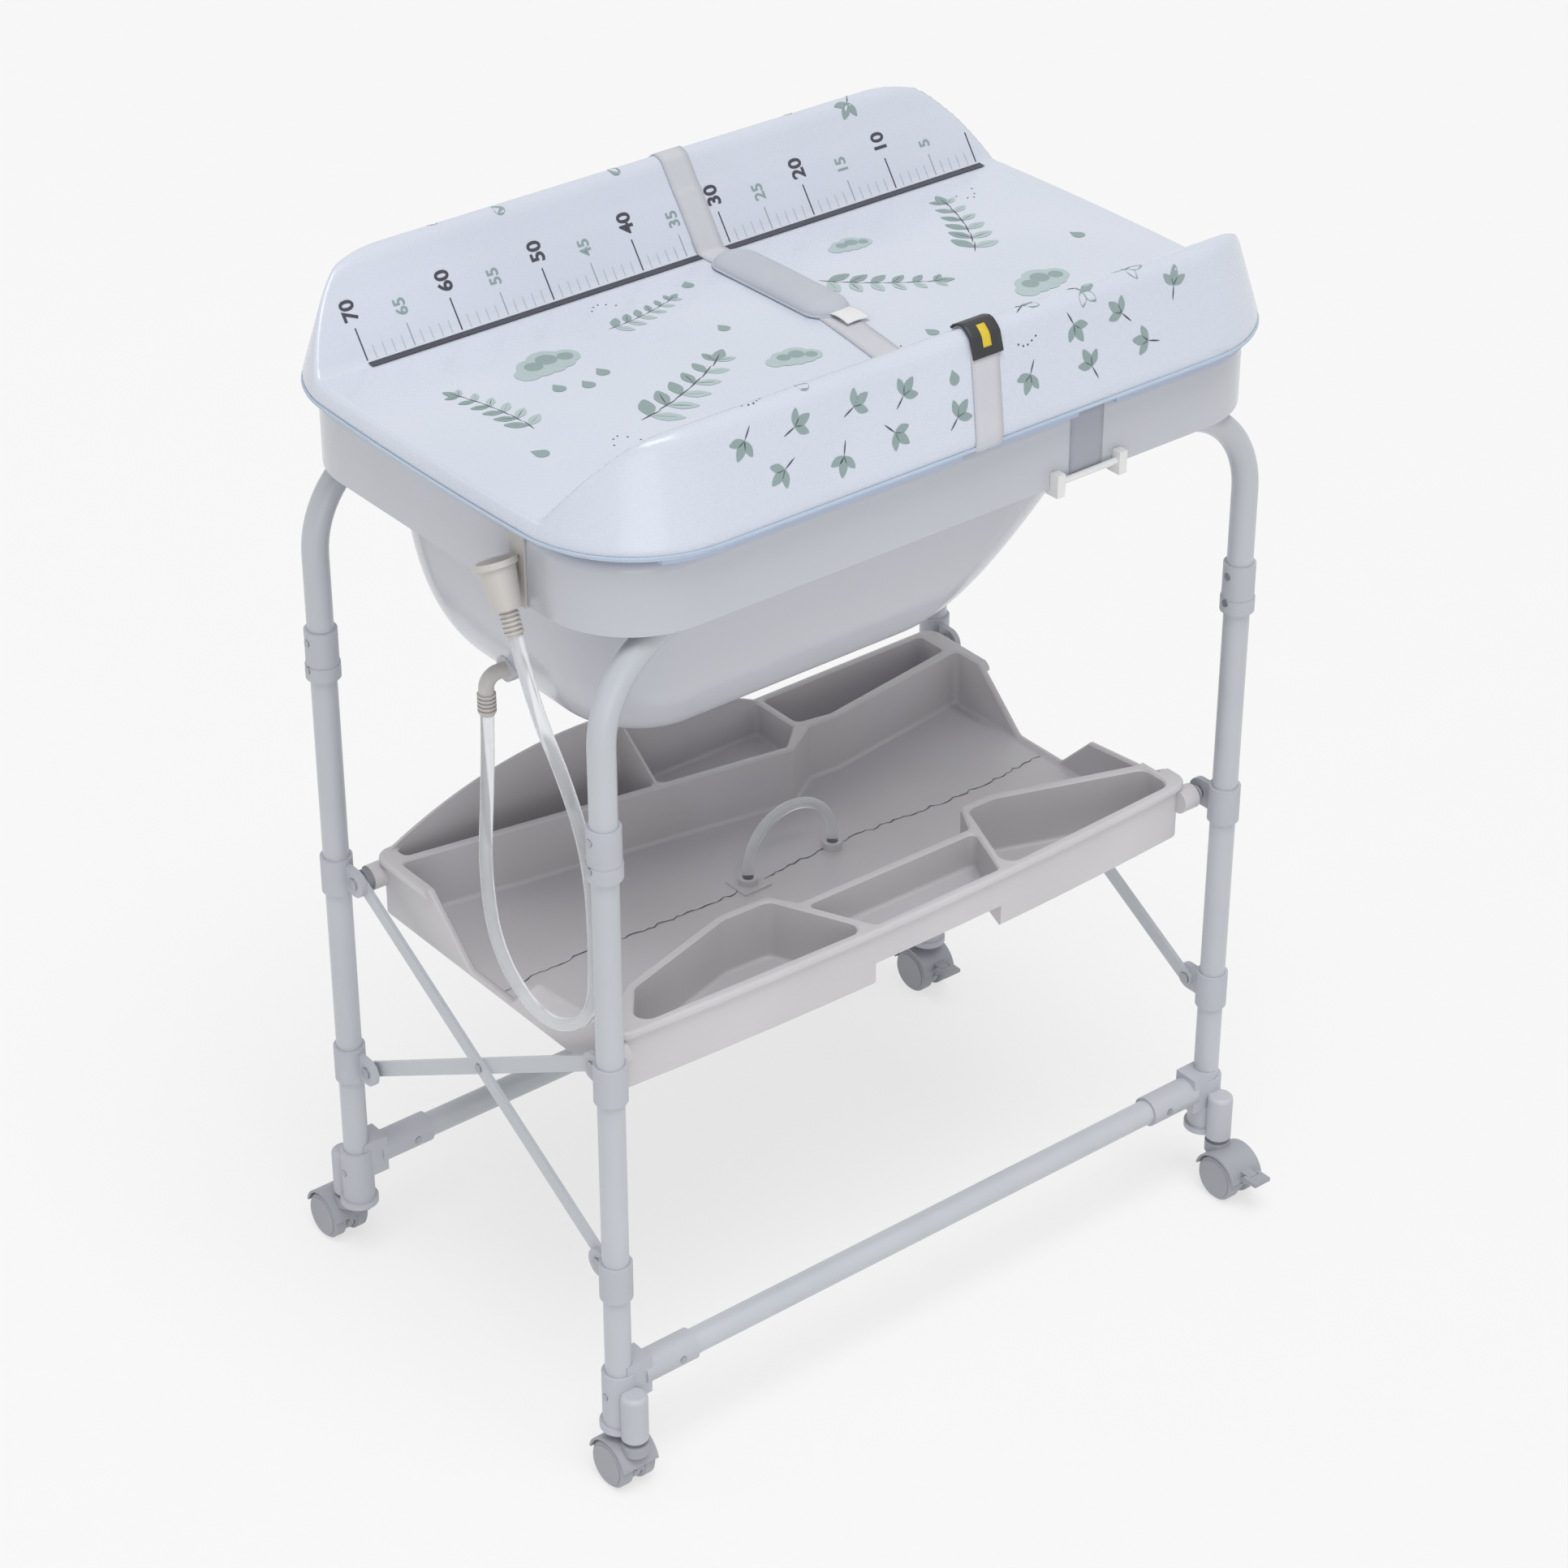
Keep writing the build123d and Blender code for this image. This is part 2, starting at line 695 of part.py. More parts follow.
# Drain, hose and holder
def drain_elbow():
    end_z = drain_z - elbow_drop
    path = FilletPolyline(
        (-drain_boss_x, 0, drain_z), (-elbow_x, 0, drain_z), (-elbow_x, 0, end_z), radius=elbow_bend_radius,
    )
    section = Plane(origin=path @ 0, z_dir=path % 0)
    body = sweep(section * Circle(elbow_od / 2), path=path)
    spigot = cylinder_x(drain_bore - 2 * slip, -drain_boss_x, -drain_boss_x + tub_wall, 0, drain_z)
    return body + spigot


def connector():
    """A ribbed hose end that hangs down from the origin."""
    body = Pos(0, 0, -connector_length / 2) * Cylinder(connector_od / 2, connector_length)
    pitch = connector_length / (connector_rib_count + 1)
    for index in range(connector_rib_count):
        z = -pitch * (index + 1)
        body += Pos(0, 0, z) * Cylinder(connector_rib_od / 2, pitch * connector_rib_share)
    return body


def cup_place():
    x = -(rim_half_x + clip_gap + clip_thickness + cup_top_od / 2 - cup_sink)
    return Pos(x, cup_bottom_y, cup_bottom_z) * Rot(-cup_tilt, 0, 0)


def hose_connectors():
    at_drain = Pos(-elbow_x, 0, drain_z - elbow_drop) * connector()
    return Compound(children=[at_drain, cup_place() * connector()])


def hose_end():
    """Where the hose enters the connector under the cup."""
    return (cup_place() * Pos(0, 0, -connector_length)).position


def hose():
    points = [Vector(*p) for p in hose_points] + [hose_end()]
    runs = [b - a for a, b in zip(points, points[1:])]
    radii = []
    for before, after in zip(runs, runs[1:]):
        half_turn = math.radians(before.get_angle(after)) / 2
        shorter = min(before.length, after.length)
        radii.append(run_share * shorter / math.tan(half_turn))
    print("hose radii", [round(r) for r in radii], "runs", [round(r.length) for r in runs])
    print("least radius wanted", limp_radius_in_diameters * hose_od)
    path = FilletPolyline(*points, radius=radii)
    section = Plane(origin=path @ 0, z_dir=path % 0)
    body = sweep(section * Circle(hose_od / 2), path=path)
    print("hose volume ratio", round(body.volume / (path.length * math.pi * hose_od ** 2 / 4), 4))
    for end in hose_connectors().solids():
        body -= end
    return body


def holder_cup():
    place = cup_place()
    outer = loft([Circle(cup_bottom_od / 2), Pos(0, 0, cup_height) * Circle(cup_top_od / 2)])
    outer += Pos(0, 0, cup_height - cup_band_height / 2) * Cylinder(cup_band_od / 2, cup_band_height)
    inner = loft([
        Pos(0, 0, cup_floor) * Circle(cup_bottom_od / 2 - cup_wall),
        Pos(0, 0, cup_height + slip) * Circle(cup_top_od / 2 - cup_wall),
    ])
    body = place * outer
    outside = -(rim_half_x + clip_gap)
    y = (place * Pos(0, 0, cup_height / 2)).position.Y
    top = rim_top_z + clip_gap
    low = skirt_bottom_z - clip_gap
    y_low, y_high = y - clip_width / 2, y + clip_width / 2
    body -= block(outside, outside + cup_band_od, y_low - cup_height, y_high + cup_height, low - cup_height, top)
    body += block(outside - clip_thickness, outside, y_low, y_high, low - clip_thickness, top + clip_thickness)
    body += block(outside - clip_thickness, outside + clip_lap, y_low, y_high, top, top + clip_thickness)
    body += block(outside - clip_thickness, outside + clip_hook, y_low, y_high, low - clip_thickness, low)
    return body - place * inner


# Changing pad
pad_bottom_z = rim_top_z + pad_gap
cover_bottom_z = pad_bottom_z + pad_base_height
flat_z = cover_bottom_z + flat_height
ridge_z = flat_z + bolster_height


def bolster_half(thickness):
    """Points of the front half of the pad's cross section, grown by a thickness."""
    ridge_y = bolster_ridge_y + bolster_ridge_half_width
    foot = pad_half_y + thickness
    return [
        (foot, cover_bottom_z),
        (foot, cover_bottom_z + flat_height / 2),
        (ridge_y + thickness, ridge_z - bolster_ridge_half_width),
        (bolster_ridge_y, ridge_z + thickness),
        (bolster_ridge_y - bolster_ridge_half_width, ridge_z - bolster_ridge_half_width / 2 + thickness),
        (flat_half_y - thickness, flat_z + thickness),
    ]


def pad_section(thickness):
    """The pad across its width: a flat between two bolsters."""
    half = bolster_half(thickness)
    front = [(-y, z) for y, z in half]
    outline = front + half[::-1]
    points = [(0, y, z) for y, z in outline]
    return make_face(Polyline(*points, close=True))


def pad_plan(inset, z_start, z_end):
    """The pad's outline as a block, straight at the sides and bowed at the ends."""
    half_x, half_y = pad_half_x - inset, pad_half_y - inset
    bowed = half_x + pad_end_bow
    left = ThreePointArc((-half_x, half_y), (-bowed, 0), (-half_x, -half_y))
    right = ThreePointArc((half_x, -half_y), (bowed, 0), (half_x, half_y))
    sides = [Line((-half_x, -half_y), (half_x, -half_y)), Line((half_x, half_y), (-half_x, half_y))]
    face = make_face([left, sides[0], right, sides[1]])
    face = fillet(face.vertices(), pad_corner_radius - inset)
    return Pos(0, 0, z_start) * extrude(face, z_end - z_start)


def pad_cover():
    length = 2 * (pad_half_x + pad_end_bow)
    body = extrude(Pos(-length / 2, 0, 0) * pad_section(0), length, dir=(1, 0, 0))
    body &= pad_plan(0, cover_bottom_z, ridge_z + overrun)
    silhouette = Pos(0, 0, (cover_bottom_z + ridge_z) / 2) * Rot(90, 0, 0) * RectangleRounded(
        length, ridge_z - cover_bottom_z + 2 * bolster_end_radius, bolster_end_radius)
    silhouette = Pos(0, pad_half_y + overrun, -bolster_end_radius) * silhouette
    return body & extrude(silhouette, length, dir=(0, -1, 0))


def pad_base():
    body = pad_plan(pad_base_inset, pad_bottom_z, cover_bottom_z)
    cuts = [
        (-pad_half_x - pad_end_bow, -end_groove_x),
        (end_groove_x, pad_half_x + pad_end_bow),
        (strap_x - strap_width / 2 - groove_side, strap_x + strap_width / 2 + groove_side),
        (-hanger_width / 2 - hanger_gap, hanger_width / 2 + hanger_gap),
    ]
    for low, high in cuts:
        body -= block(low, high, -pad_half_y, pad_half_y, pad_bottom_z - overrun, pad_bottom_z + groove_depth)
    return body


def belt_strip(x, y_start, y_end, width, thickness):
    """A band that lies on the pad between two places across it."""
    shell = pad_section(thickness) - pad_section(0)
    strip = extrude(Pos(x - width / 2, 0, 0) * shell, width, dir=(1, 0, 0))
    strip &= block(x - width, x + width, y_start, y_end, cover_bottom_z, ridge_z + pad_half_y)
    return strip


def pad_belt():
    """The two halves of the belt, over the back bolster and over the front one."""
    reach = pad_half_y + overrun
    back = belt_strip(belt_back_x, 0, reach, belt_width, belt_thickness)
    front = belt_strip(belt_front_x, -reach, -belt_front_y, belt_width, belt_thickness)
    return Compound(children=[back, front])


def belt_cover():
    """The padded sleeve on the belt, flat on the pad and rounded at its ends."""
    body = Box(belt_cover_width, belt_cover_length, belt_cover_height)
    body = fillet(body.edges().filter_by(Axis.Z), belt_cover_radius)
    body = fillet(body.edges().group_by(Axis.Z)[-1], belt_cover_height / 3)
    y = belt_cover_back_y - belt_cover_length / 2
    return Pos(belt_back_x, y, flat_z + belt_thickness + belt_cover_height / 2) * body


def belt_loop():
    """The buckle half that sits on the inner face of the front bolster."""
    top_y = -bolster_ridge_y
    reach = (bolster_ridge_y - flat_half_y) * loop_share
    thick = belt_strip(belt_front_x, top_y, top_y + reach, loop_width, belt_thickness + loop_thickness)
    return thick - belt_strip(belt_front_x, -pad_half_y, 0, 2 * loop_width, belt_thickness)


# Hanger between the tub and the pad
def pad_hanger():
    half = hanger_width / 2
    lug_outer = half + hanger_gap + lug_thickness
    leaf_low = pad_bottom_z + hanger_leaf_lift
    body = cylinder_x(hanger_knuckle_diameter, -half, half, hanger_y, hanger_z)
    body += cylinder_x(hanger_pin_diameter, -lug_outer, lug_outer, hanger_y, hanger_z)
    web_y = hanger_web_depth / 2
    body += block(-half, half, hanger_y - web_y, hanger_y + web_y, hanger_z, leaf_low + hanger_leaf_thickness)
    leaf_start = hanger_y - hanger_leaf_length
    return body + block(-half, half, leaf_start, hanger_y, leaf_low, leaf_low + hanger_leaf_thickness)


# Tray
pocket_depth = tray_depth - tray_wall


def front_edge_y(x):
    """The bowed front edge of the tray at one place along its length."""
    return -tray_half_y - tray_front_bow * (1 - (x / tray_half_x) ** 2)


def tray_plan(grow):
    half_x, half_y = tray_half_x + grow, tray_half_y + grow
    front = ThreePointArc((-half_x, -half_y), (0, -half_y - tray_front_bow), (half_x, -half_y))
    sides = Polyline((half_x, -half_y), (half_x, half_y), (-half_x, half_y), (-half_x, -half_y))
    face = make_face([front, sides])
    return fillet(face.vertices(), tray_corner_radius + grow)


def tray_points(shares, edge_shift):
    """Turns a table of shares into points, with wall faces moved out by a shift."""
    points = []
    for x_share, y_share in shares:
        x, y = x_share * tray_half_x, y_share * tray_half_y
        if y_share == 1:
            y = tray_half_y - tray_wall + edge_shift
        if y_share == -1:
            y = front_edge_y(x) + tray_wall - edge_shift
        points.append((x, y))
    return points


def pocket(shares, depth, radius):
    """A pocket cut down from the rim, rounded at its corners and foot, and flared at its rim."""
    face = make_face(Polyline(*tray_points(shares, 0), close=True))
    face = fillet(face.vertices(), radius)
    cut = extrude(face, depth + overrun)
    cut = fillet(cut.faces().sort_by(Axis.Z)[0].edges(), pocket_foot_round)
    cut = Pos(0, 0, tray_rim_z - depth) * cut
    flare = extrude(offset(face, pocket_flare), pocket_flare + overrun)
    flare = chamfer(flare.faces().sort_by(Axis.Z)[0].edges(), pocket_flare + slip)
    return cut + Pos(0, 0, tray_rim_z - pocket_flare) * flare


def undercut(shares):
    """Clears the space under a shallow pocket, out through the wall beside it."""
    face = make_face(Polyline(*tray_points(shares, tray_wall + overrun), close=True))
    height = tray_depth - shallow_depth - tray_wall + overrun
    return Pos(0, 0, tray_rim_z - tray_depth - overrun) * extrude(face, height)


def end_dips():
    """The low mouths of the trough in both end walls."""
    points = [(0, dip_y_shares[0] * tray_half_y, tray_rim_z + overrun)]
    for y_share, depth_share in zip(dip_y_shares, dip_depth_shares):
        points.append((0, y_share * tray_half_y, tray_rim_z - depth_share * pocket_depth))
    points.append((0, dip_y_shares[-1] * tray_half_y, tray_rim_z + overrun))
    face = make_face(Polyline(*points, close=True))
    low = [v for v in face.vertices() if v.Z < tray_rim_z - shallow_depth]
    face = fillet(low, dip_radius)
    inner = tray_half_x * (1 - end_wall_share)
    outer = tray_half_x + tray_lip + slip
    wide = offset(face, mouth_flare, kind=Kind.INTERSECTION)
    cuts = []
    for end in (-1, 1):
        start = end * (inner - mouth_flare)
        cuts.append(extrude(Pos(start, 0, 0) * face, outer - inner + mouth_flare, dir=(end, 0, 0)))
        for near, far in ((inner + mouth_flare, inner - mouth_flare), (tray_half_x - mouth_flare, outer)):
            way = end if far > near else -end
            flare = extrude(Pos(end * near, 0, 0) * wide, abs(far - near), dir=(way, 0, 0))
            faces = flare.faces().sort_by(Axis.X)
            cuts.append(chamfer((faces[0] if way > 0 else faces[-1]).edges(), mouth_flare + slip))
    return cuts


def back_panel():
    """The raised stretch of the back wall and the side that comes down from it."""
    start, crest, end = [share * tray_half_x for share in back_panel_shares]
    top = tray_rim_z + back_panel_height
    curve = ThreePointArc((start, 0, tray_rim_z), (crest, 0, top), (end, 0, tray_rim_z))
    base = Polyline((end, 0, tray_rim_z), (end, 0, tray_rim_z - tray_wall),
                    (start, 0, tray_rim_z - tray_wall), (start, 0, tray_rim_z))
    panel = extrude(Pos(0, tray_half_y, 0) * make_face([curve, base]), tray_wall, dir=(0, -1, 0))
    low_x = back_left_shares[1][0] * tray_half_x
    low_y = back_left_shares[1][1] * tray_half_y
    side = make_face(Polyline(
        (low_x, low_y, tray_rim_z - tray_wall), (low_x, low_y, tray_rim_z),
        (low_x, tray_half_y - tray_wall, top - tray_wall), (low_x, tray_half_y - tray_wall, tray_rim_z - tray_wall),
        close=True,
    ))
    return panel + extrude(side, tray_wall, dir=(1, 0, 0))


def tray():
    low_z = tray_rim_z - tray_depth
    body = Pos(0, 0, low_z) * extrude(tray_plan(0), tray_depth)
    body = chamfer(body.faces().sort_by(Axis.Z)[0].edges(), tray_foot_bevel)
    lip = Pos(0, 0, tray_rim_z - tray_lip_height) * extrude(tray_plan(tray_lip), tray_lip_height)
    lip_ends = lip.faces().sort_by(Axis.Z)
    body += fillet(lip_ends[0].edges() + lip_ends[-1].edges(), tray_lip_round)
    for side, front in corners.values():
        low, high = span_x(side, tray_sleeve_start, leg_x - tray_half_x + tray_sleeve_inside)
        body += cylinder_x(tray_sleeve_od, low, high, front * tray_half_y, mid_collar_z)
    for shares in (front_left_shares, front_right_shares):
        body -= pocket(shares, pocket_depth, front_pocket_radius)
    for shares in (back_left_shares, back_right_shares):
        body -= pocket(shares, pocket_depth, pocket_radius)
    body -= pocket(trough_back_shares + trough_front_shares, pocket_depth, pocket_radius)
    for shares in (front_middle_shares, back_middle_shares):
        body -= pocket(shares, shallow_depth, pocket_radius)
        body -= undercut(shares)
    for cut in end_dips():
        body -= cut
    body += back_panel()
    floor_z = low_z + tray_wall
    for end in (-1, 1):
        x = handle_x + end * handle_span / 2
        body += cylinder_z(handle_boss_diameter, floor_z, floor_z + handle_boss_height, x, handle_y)
    half = handle_plate / 2
    plate_x = handle_x - handle_span / 2
    body += block(
        plate_x - half, plate_x + half, handle_y - half, handle_y + half,
        floor_z, floor_z + handle_plate_thickness,
    )
    for side, front in corners.values():
        low, high = span_x(side, tray_sleeve_start, bolt_tip())
        y = front * (leg_y - ear_reach)
        body -= cylinder_x(bolt_diameter + 2 * slip, low, high, y, mid_collar_z)
    return body


def tray_bushes():
    """Soft rings on the pivot bolts, between the struts and the tray."""
    rings = []
    for side, front in corners.values():
        strut_count = 1 if front > 0 else 2
        start = ear_start + ear_thickness + strut_count * strut_thickness
        low, high = span_x(side, start, tray_sleeve_start)
        y = front * (leg_y - ear_reach)
        ring = cylinder_x(bush_od, low, high, y, mid_collar_z)
        rings.append(ring - cylinder_x(bolt_diameter + 2 * slip, low, high, y, mid_collar_z))
    return Compound(children=rings)


def tray_handle():
    half = handle_span / 2
    low = tray_rim_z - pocket_depth + handle_boss_height
    top = low + handle_height
    path = FilletPolyline(
        (handle_x - half, handle_y, low), (handle_x - half, handle_y, top),
        (handle_x + half, handle_y, top), (handle_x + half, handle_y, low),
        radius=half - slip,
    )
    section = Plane(origin=path @ 0, z_dir=path % 0)
    return sweep(section * Circle(handle_od / 2), path=path)


# Bath cushion
def pillow(radii, x, y, z, tilt, gap):
    """A stuffed oval, thickest at its middle and drawn in at its edge, grown by a gap."""
    length, width, height = [radius + gap for radius in radii]
    sections = []
    for height_share, width_share in zip(pillow_height_shares, pillow_width_shares):
        sections.append(Pos(0, 0, height_share * height) * Ellipse(length * width_share, width * width_share))
    return Pos(x, y, z) * Rot(0, -tilt, 0) * loft(sections)


def back_rest(gap):
    """The upper half of the cushion with its two ears, grown by a gap."""
    body = pillow(back_rest_radii, back_rest_x, 0, back_rest_z, back_rest_tilt, gap)
    for side in (-1, 1):
        y = side * cushion_ear_y
        body += pillow(cushion_ear_radii, cushion_ear_x, y, cushion_ear_z, back_rest_tilt, gap)
    return body


def leg_rest(gap):
    return pillow(leg_rest_radii, leg_rest_x, 0, leg_rest_z, leg_rest_tilt, gap)


def cushion_seat():
    """The low seat that joins the two halves."""
    seat = pillow(cushion_seat_radii, cushion_seat_x, 0, cushion_seat_z, 0, 0)
    return seat - back_rest(cushion_gap) - leg_rest(cushion_gap)


def strap_run(start_out, start_z, rim_inner, rim_outer):
    """A strap from the cushion over the rim and down the skirt, drawn along +X from the origin."""
    over_z = rim_top_z + strap_gap + strap_thickness / 2
    outside = rim_outer + strap_gap + strap_thickness / 2
    low_z = skirt_bottom_z + hook_bar_lift
    path = FilletPolyline(
        (start_out, 0, start_z), (rim_inner - strap_rim_inset, 0, over_z),
        (outside, 0, over_z), (outside, 0, low_z), radius=strap_bend,
    )
    section = Plane(origin=path @ 0, x_dir=(0, 1, 0), z_dir=path % 0)
    return sweep(section * Rectangle(strap_width, strap_thickness), path=path)


def strap_places():
    """Where each strap crosses the rim, as a place, a start, and the rim's two faces."""
    side_start = back_rest_radii[1] - strap_start_inset
    end_start = back_rest_x + back_rest_radii[0] * math.cos(math.radians(back_rest_tilt)) - strap_start_inset
    end_z = back_rest_z + back_rest_radii[0] * math.sin(math.radians(back_rest_tilt)) - strap_start_inset
    across = (side_start, back_rest_z, basin_half_y, rim_half_y)
    return [
        (Pos(strap_x, 0, 0) * Rot(0, 0, -90), across),
        (Pos(strap_x, 0, 0) * Rot(0, 0, 90), across),
        (Pos(0, strap_end_y, 0), (end_start, end_z, basin_half_x, rim_half_x)),
    ]


def cushion_straps():
    straps = [place * strap_run(*sizes) for place, sizes in strap_places()]
    return Compound(children=[strap - back_rest(cushion_gap) for strap in straps])


def strap_hook(outside):
    """A bar between two tabs that grip the foot of the skirt, drawn along +X."""
    face = outside + strap_gap
    bar_x = face + strap_thickness + slip + hook_bar_diameter / 2
    bar_z = skirt_bottom_z + hook_bar_lift
    half = hook_bar_length / 2
    body = Pos(bar_x, 0, bar_z) * Rot(90, 0, 0) * Cylinder(hook_bar_diameter / 2, hook_bar_length)
    low = skirt_bottom_z - strap_gap - hook_lip_height
    for end in (-1, 1):
        near, far = sorted((end * half, end * (half + hook_tab_width)))
        body += block(face, face + hook_tab_depth, near, far, low, low + hook_tab_height)
        body += block(face - hook_lip_reach, face, near, far, low, low + hook_lip_height)
    return body


def strap_hooks():
    return Compound(children=[place * strap_hook(sizes[3]) for place, sizes in strap_places()])


def bolt_tip():
    """How far inboard of a leg the tray's bolts reach."""
    return leg_x - tray_half_x + tray_sleeve_inside / 2


# Frame
pieces["front_arch"] = arch(-1)
pieces["rear_arch"] = arch(1)
for name, (side, front) in corners.items():
    pieces["leg_" + name] = leg(side, front)
    pieces["sleeve_" + name] = sleeve(side, front)
    pieces["mid_collar_" + name] = collar(side, front, mid_collar_z)
    pieces["low_collar_" + name] = collar(side, front, low_collar_z)
    pieces["corner_fitting_" + name] = corner_fitting(side, front)
pieces["front_bottom_tube"] = bottom_tube(-1)
pieces["rear_bottom_tube"] = bottom_tube(1)
for name, side in (("left", -1), ("right", 1)):
    outer_start = ear_start + ear_thickness
    pieces["strut_outer_" + name] = strut(side, mid_collar_z, low_collar_z, outer_start)
    pieces["strut_inner_" + name] = strut(side, low_collar_z, mid_collar_z, outer_start + strut_thickness)
pieces["pivot_bolts"] = pivot_bolts()
pieces["strut_rivets"] = strut_rivets()

# Bolts across the frame's joints
screws = []
for name, (side, front) in corners.items():
    x, y = side * leg_x, front * leg_y
    arch_name = "front_arch" if front < 0 else "rear_arch"
    tube_name = "front_bottom_tube" if front < 0 else "rear_bottom_tube"
    upper_z = sleeve_bottom_z + sleeve_height - sleeve_screw_inset
    lower_z = sleeve_bottom_z + sleeve_screw_inset
    fasten(["sleeve_" + name, arch_name], Pos(x, y, upper_z), "x", sleeve_od / 2)
    fasten(["sleeve_" + name, "leg_" + name], Pos(x, y, lower_z), "x", sleeve_band_od / 2)
    fasten(["corner_fitting_" + name, "leg_" + name], Pos(x, y, fitting_screw_z), "x", fitting_od / 2)
    sleeve_x = inboard(side, (fitting_tube_seat + fitting_sleeve_end) / 2)
    fasten(["corner_fitting_" + name, tube_name], Pos(sleeve_x, y, bottom_tube_z), "y", fitting_sleeve_od / 2)
pieces["frame_screws"] = Compound(children=screws)

# Tray
pieces["tray"] = tray()
pieces["tray_bushes"] = tray_bushes()
pieces["tray_handle"] = tray_handle()

# Casters
for name, (side, front) in corners.items():
    pieces["caster_hood_" + name] = hood(side, front, caster_headings[name], name in braked)
    pieces["caster_wheels_" + name] = wheels(side, front, caster_headings[name])
    if name in braked:
        pieces["caster_brake_" + name] = brake(side, front, caster_headings[name])

# Tub and what rides on it
pieces["tub"] = tub()
pieces["drain_elbow"] = drain_elbow()
pieces["hose_connectors"] = hose_connectors()
pieces["hose"] = hose()
pieces["holder_cup"] = holder_cup()
pieces["cushion_back_rest"] = back_rest(0)
pieces["cushion_leg_rest"] = leg_rest(0)
pieces["cushion_seat"] = cushion_seat()
pieces["cushion_straps"] = cushion_straps()
pieces["strap_hooks"] = strap_hooks()

# Changing pad
pieces["pad_hanger"] = pad_hanger()
pieces["pad_base"] = pad_base()
pieces["pad_cover"] = pad_cover()
pieces["pad_belt"] = pad_belt()
pieces["belt_cover"] = belt_cover()
pieces["belt_loop"] = belt_loop()

os.makedirs("parts", exist_ok=True)
for name, piece in pieces.items():
    box = piece.bounding_box()
    sizes = [round(v, 1) for v in (*box.min, *box.max)]
    print(name, len(piece.solids()), round(piece.volume), sizes)
    export_step(piece, "parts/" + name + ".step")
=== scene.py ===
import bpy
import bmesh
import math
import random
from mathutils import Matrix, Vector
from mathutils.bvhtree import BVHTree


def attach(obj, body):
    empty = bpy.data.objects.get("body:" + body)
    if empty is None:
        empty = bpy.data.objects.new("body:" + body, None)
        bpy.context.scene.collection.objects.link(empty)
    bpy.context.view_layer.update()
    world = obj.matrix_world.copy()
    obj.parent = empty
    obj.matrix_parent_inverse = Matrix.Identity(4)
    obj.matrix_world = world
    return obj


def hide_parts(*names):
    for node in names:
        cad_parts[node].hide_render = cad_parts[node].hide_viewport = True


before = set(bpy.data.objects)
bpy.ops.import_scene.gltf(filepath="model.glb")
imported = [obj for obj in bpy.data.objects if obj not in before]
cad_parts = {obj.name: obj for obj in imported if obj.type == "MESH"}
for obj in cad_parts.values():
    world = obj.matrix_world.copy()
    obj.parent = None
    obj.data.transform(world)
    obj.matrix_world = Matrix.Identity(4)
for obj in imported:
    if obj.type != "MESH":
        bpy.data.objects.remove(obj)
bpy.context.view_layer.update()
mm = 0.001
core = Vector((0, 0, 0.9))  # a place inside the pad, in metres, that outer faces look away from
print("frame loaded")


# Camera, floor and light

cameraSetup = {"place": (-2.0454, -2.5495, 2.5265), "yaw": 38.695, "pitch": 31.719, "lens": 93.0,
               "far": 100}
floorSetup = {"size": 30, "glow": "#f8f8f8", "lift": 0.7}
lightSetup = {
    "world": 0.46, "background": 0.95, "sun": {"from": (-0.1, -0.3, 1.0), "angle": 38, "power": 1.72},
    "soft": {"place": (-2.0, -3.0, 0.9), "size": 2.0, "power": 15},
    "rim": {"place": (-2.6, 1.6, 2.6), "size": 1.6, "power": 5},
    "aim": (0, 0, 0.5),
}


def tint(code):  # "#rrggbb" as the linear colour that renders as that code
    parts = [int(code[i:i + 2], 16) / 255 for i in (1, 3, 5)]
    return tuple(p / 12.92 if p <= 0.04045 else ((p + 0.055) / 1.055) ** 2.4 for p in parts) + (1,)


def makeCamera(setup):
    data = bpy.data.cameras.new("camera")
    data.lens = setup["lens"]
    data.clip_end = setup["far"]
    camera = bpy.data.objects.new("camera", data)
    camera.location = setup["place"]
    camera.rotation_euler = (math.radians(90 - setup["pitch"]), 0, -math.radians(setup["yaw"]))
    bpy.context.scene.collection.objects.link(camera)
    bpy.context.scene.camera = camera


def addNode(tree, kind, **values):
    node = tree.nodes.new("ShaderNode" + kind)
    for key, value in values.items():
        setattr(node, key, value)
    return node


def calc(tree, operation, first, second=0.0):
    node = addNode(tree, "Math", operation=operation)
    for value, socket in ((first, node.inputs[0]), (second, node.inputs[1])):
        if isinstance(value, (int, float)):
            socket.default_value = value
        else:
            tree.links.new(value, socket)
    return node.outputs[0]


def seenRays(tree):  # 1 for the rays that show a background: camera, glossy and transmission
    rays = addNode(tree, "LightPath")
    share = rays.outputs["Is Camera Ray"]
    for name in ("Is Glossy Ray", "Is Transmission Ray"):
        share = calc(tree, "MAXIMUM", share, rays.outputs[name])
    return share


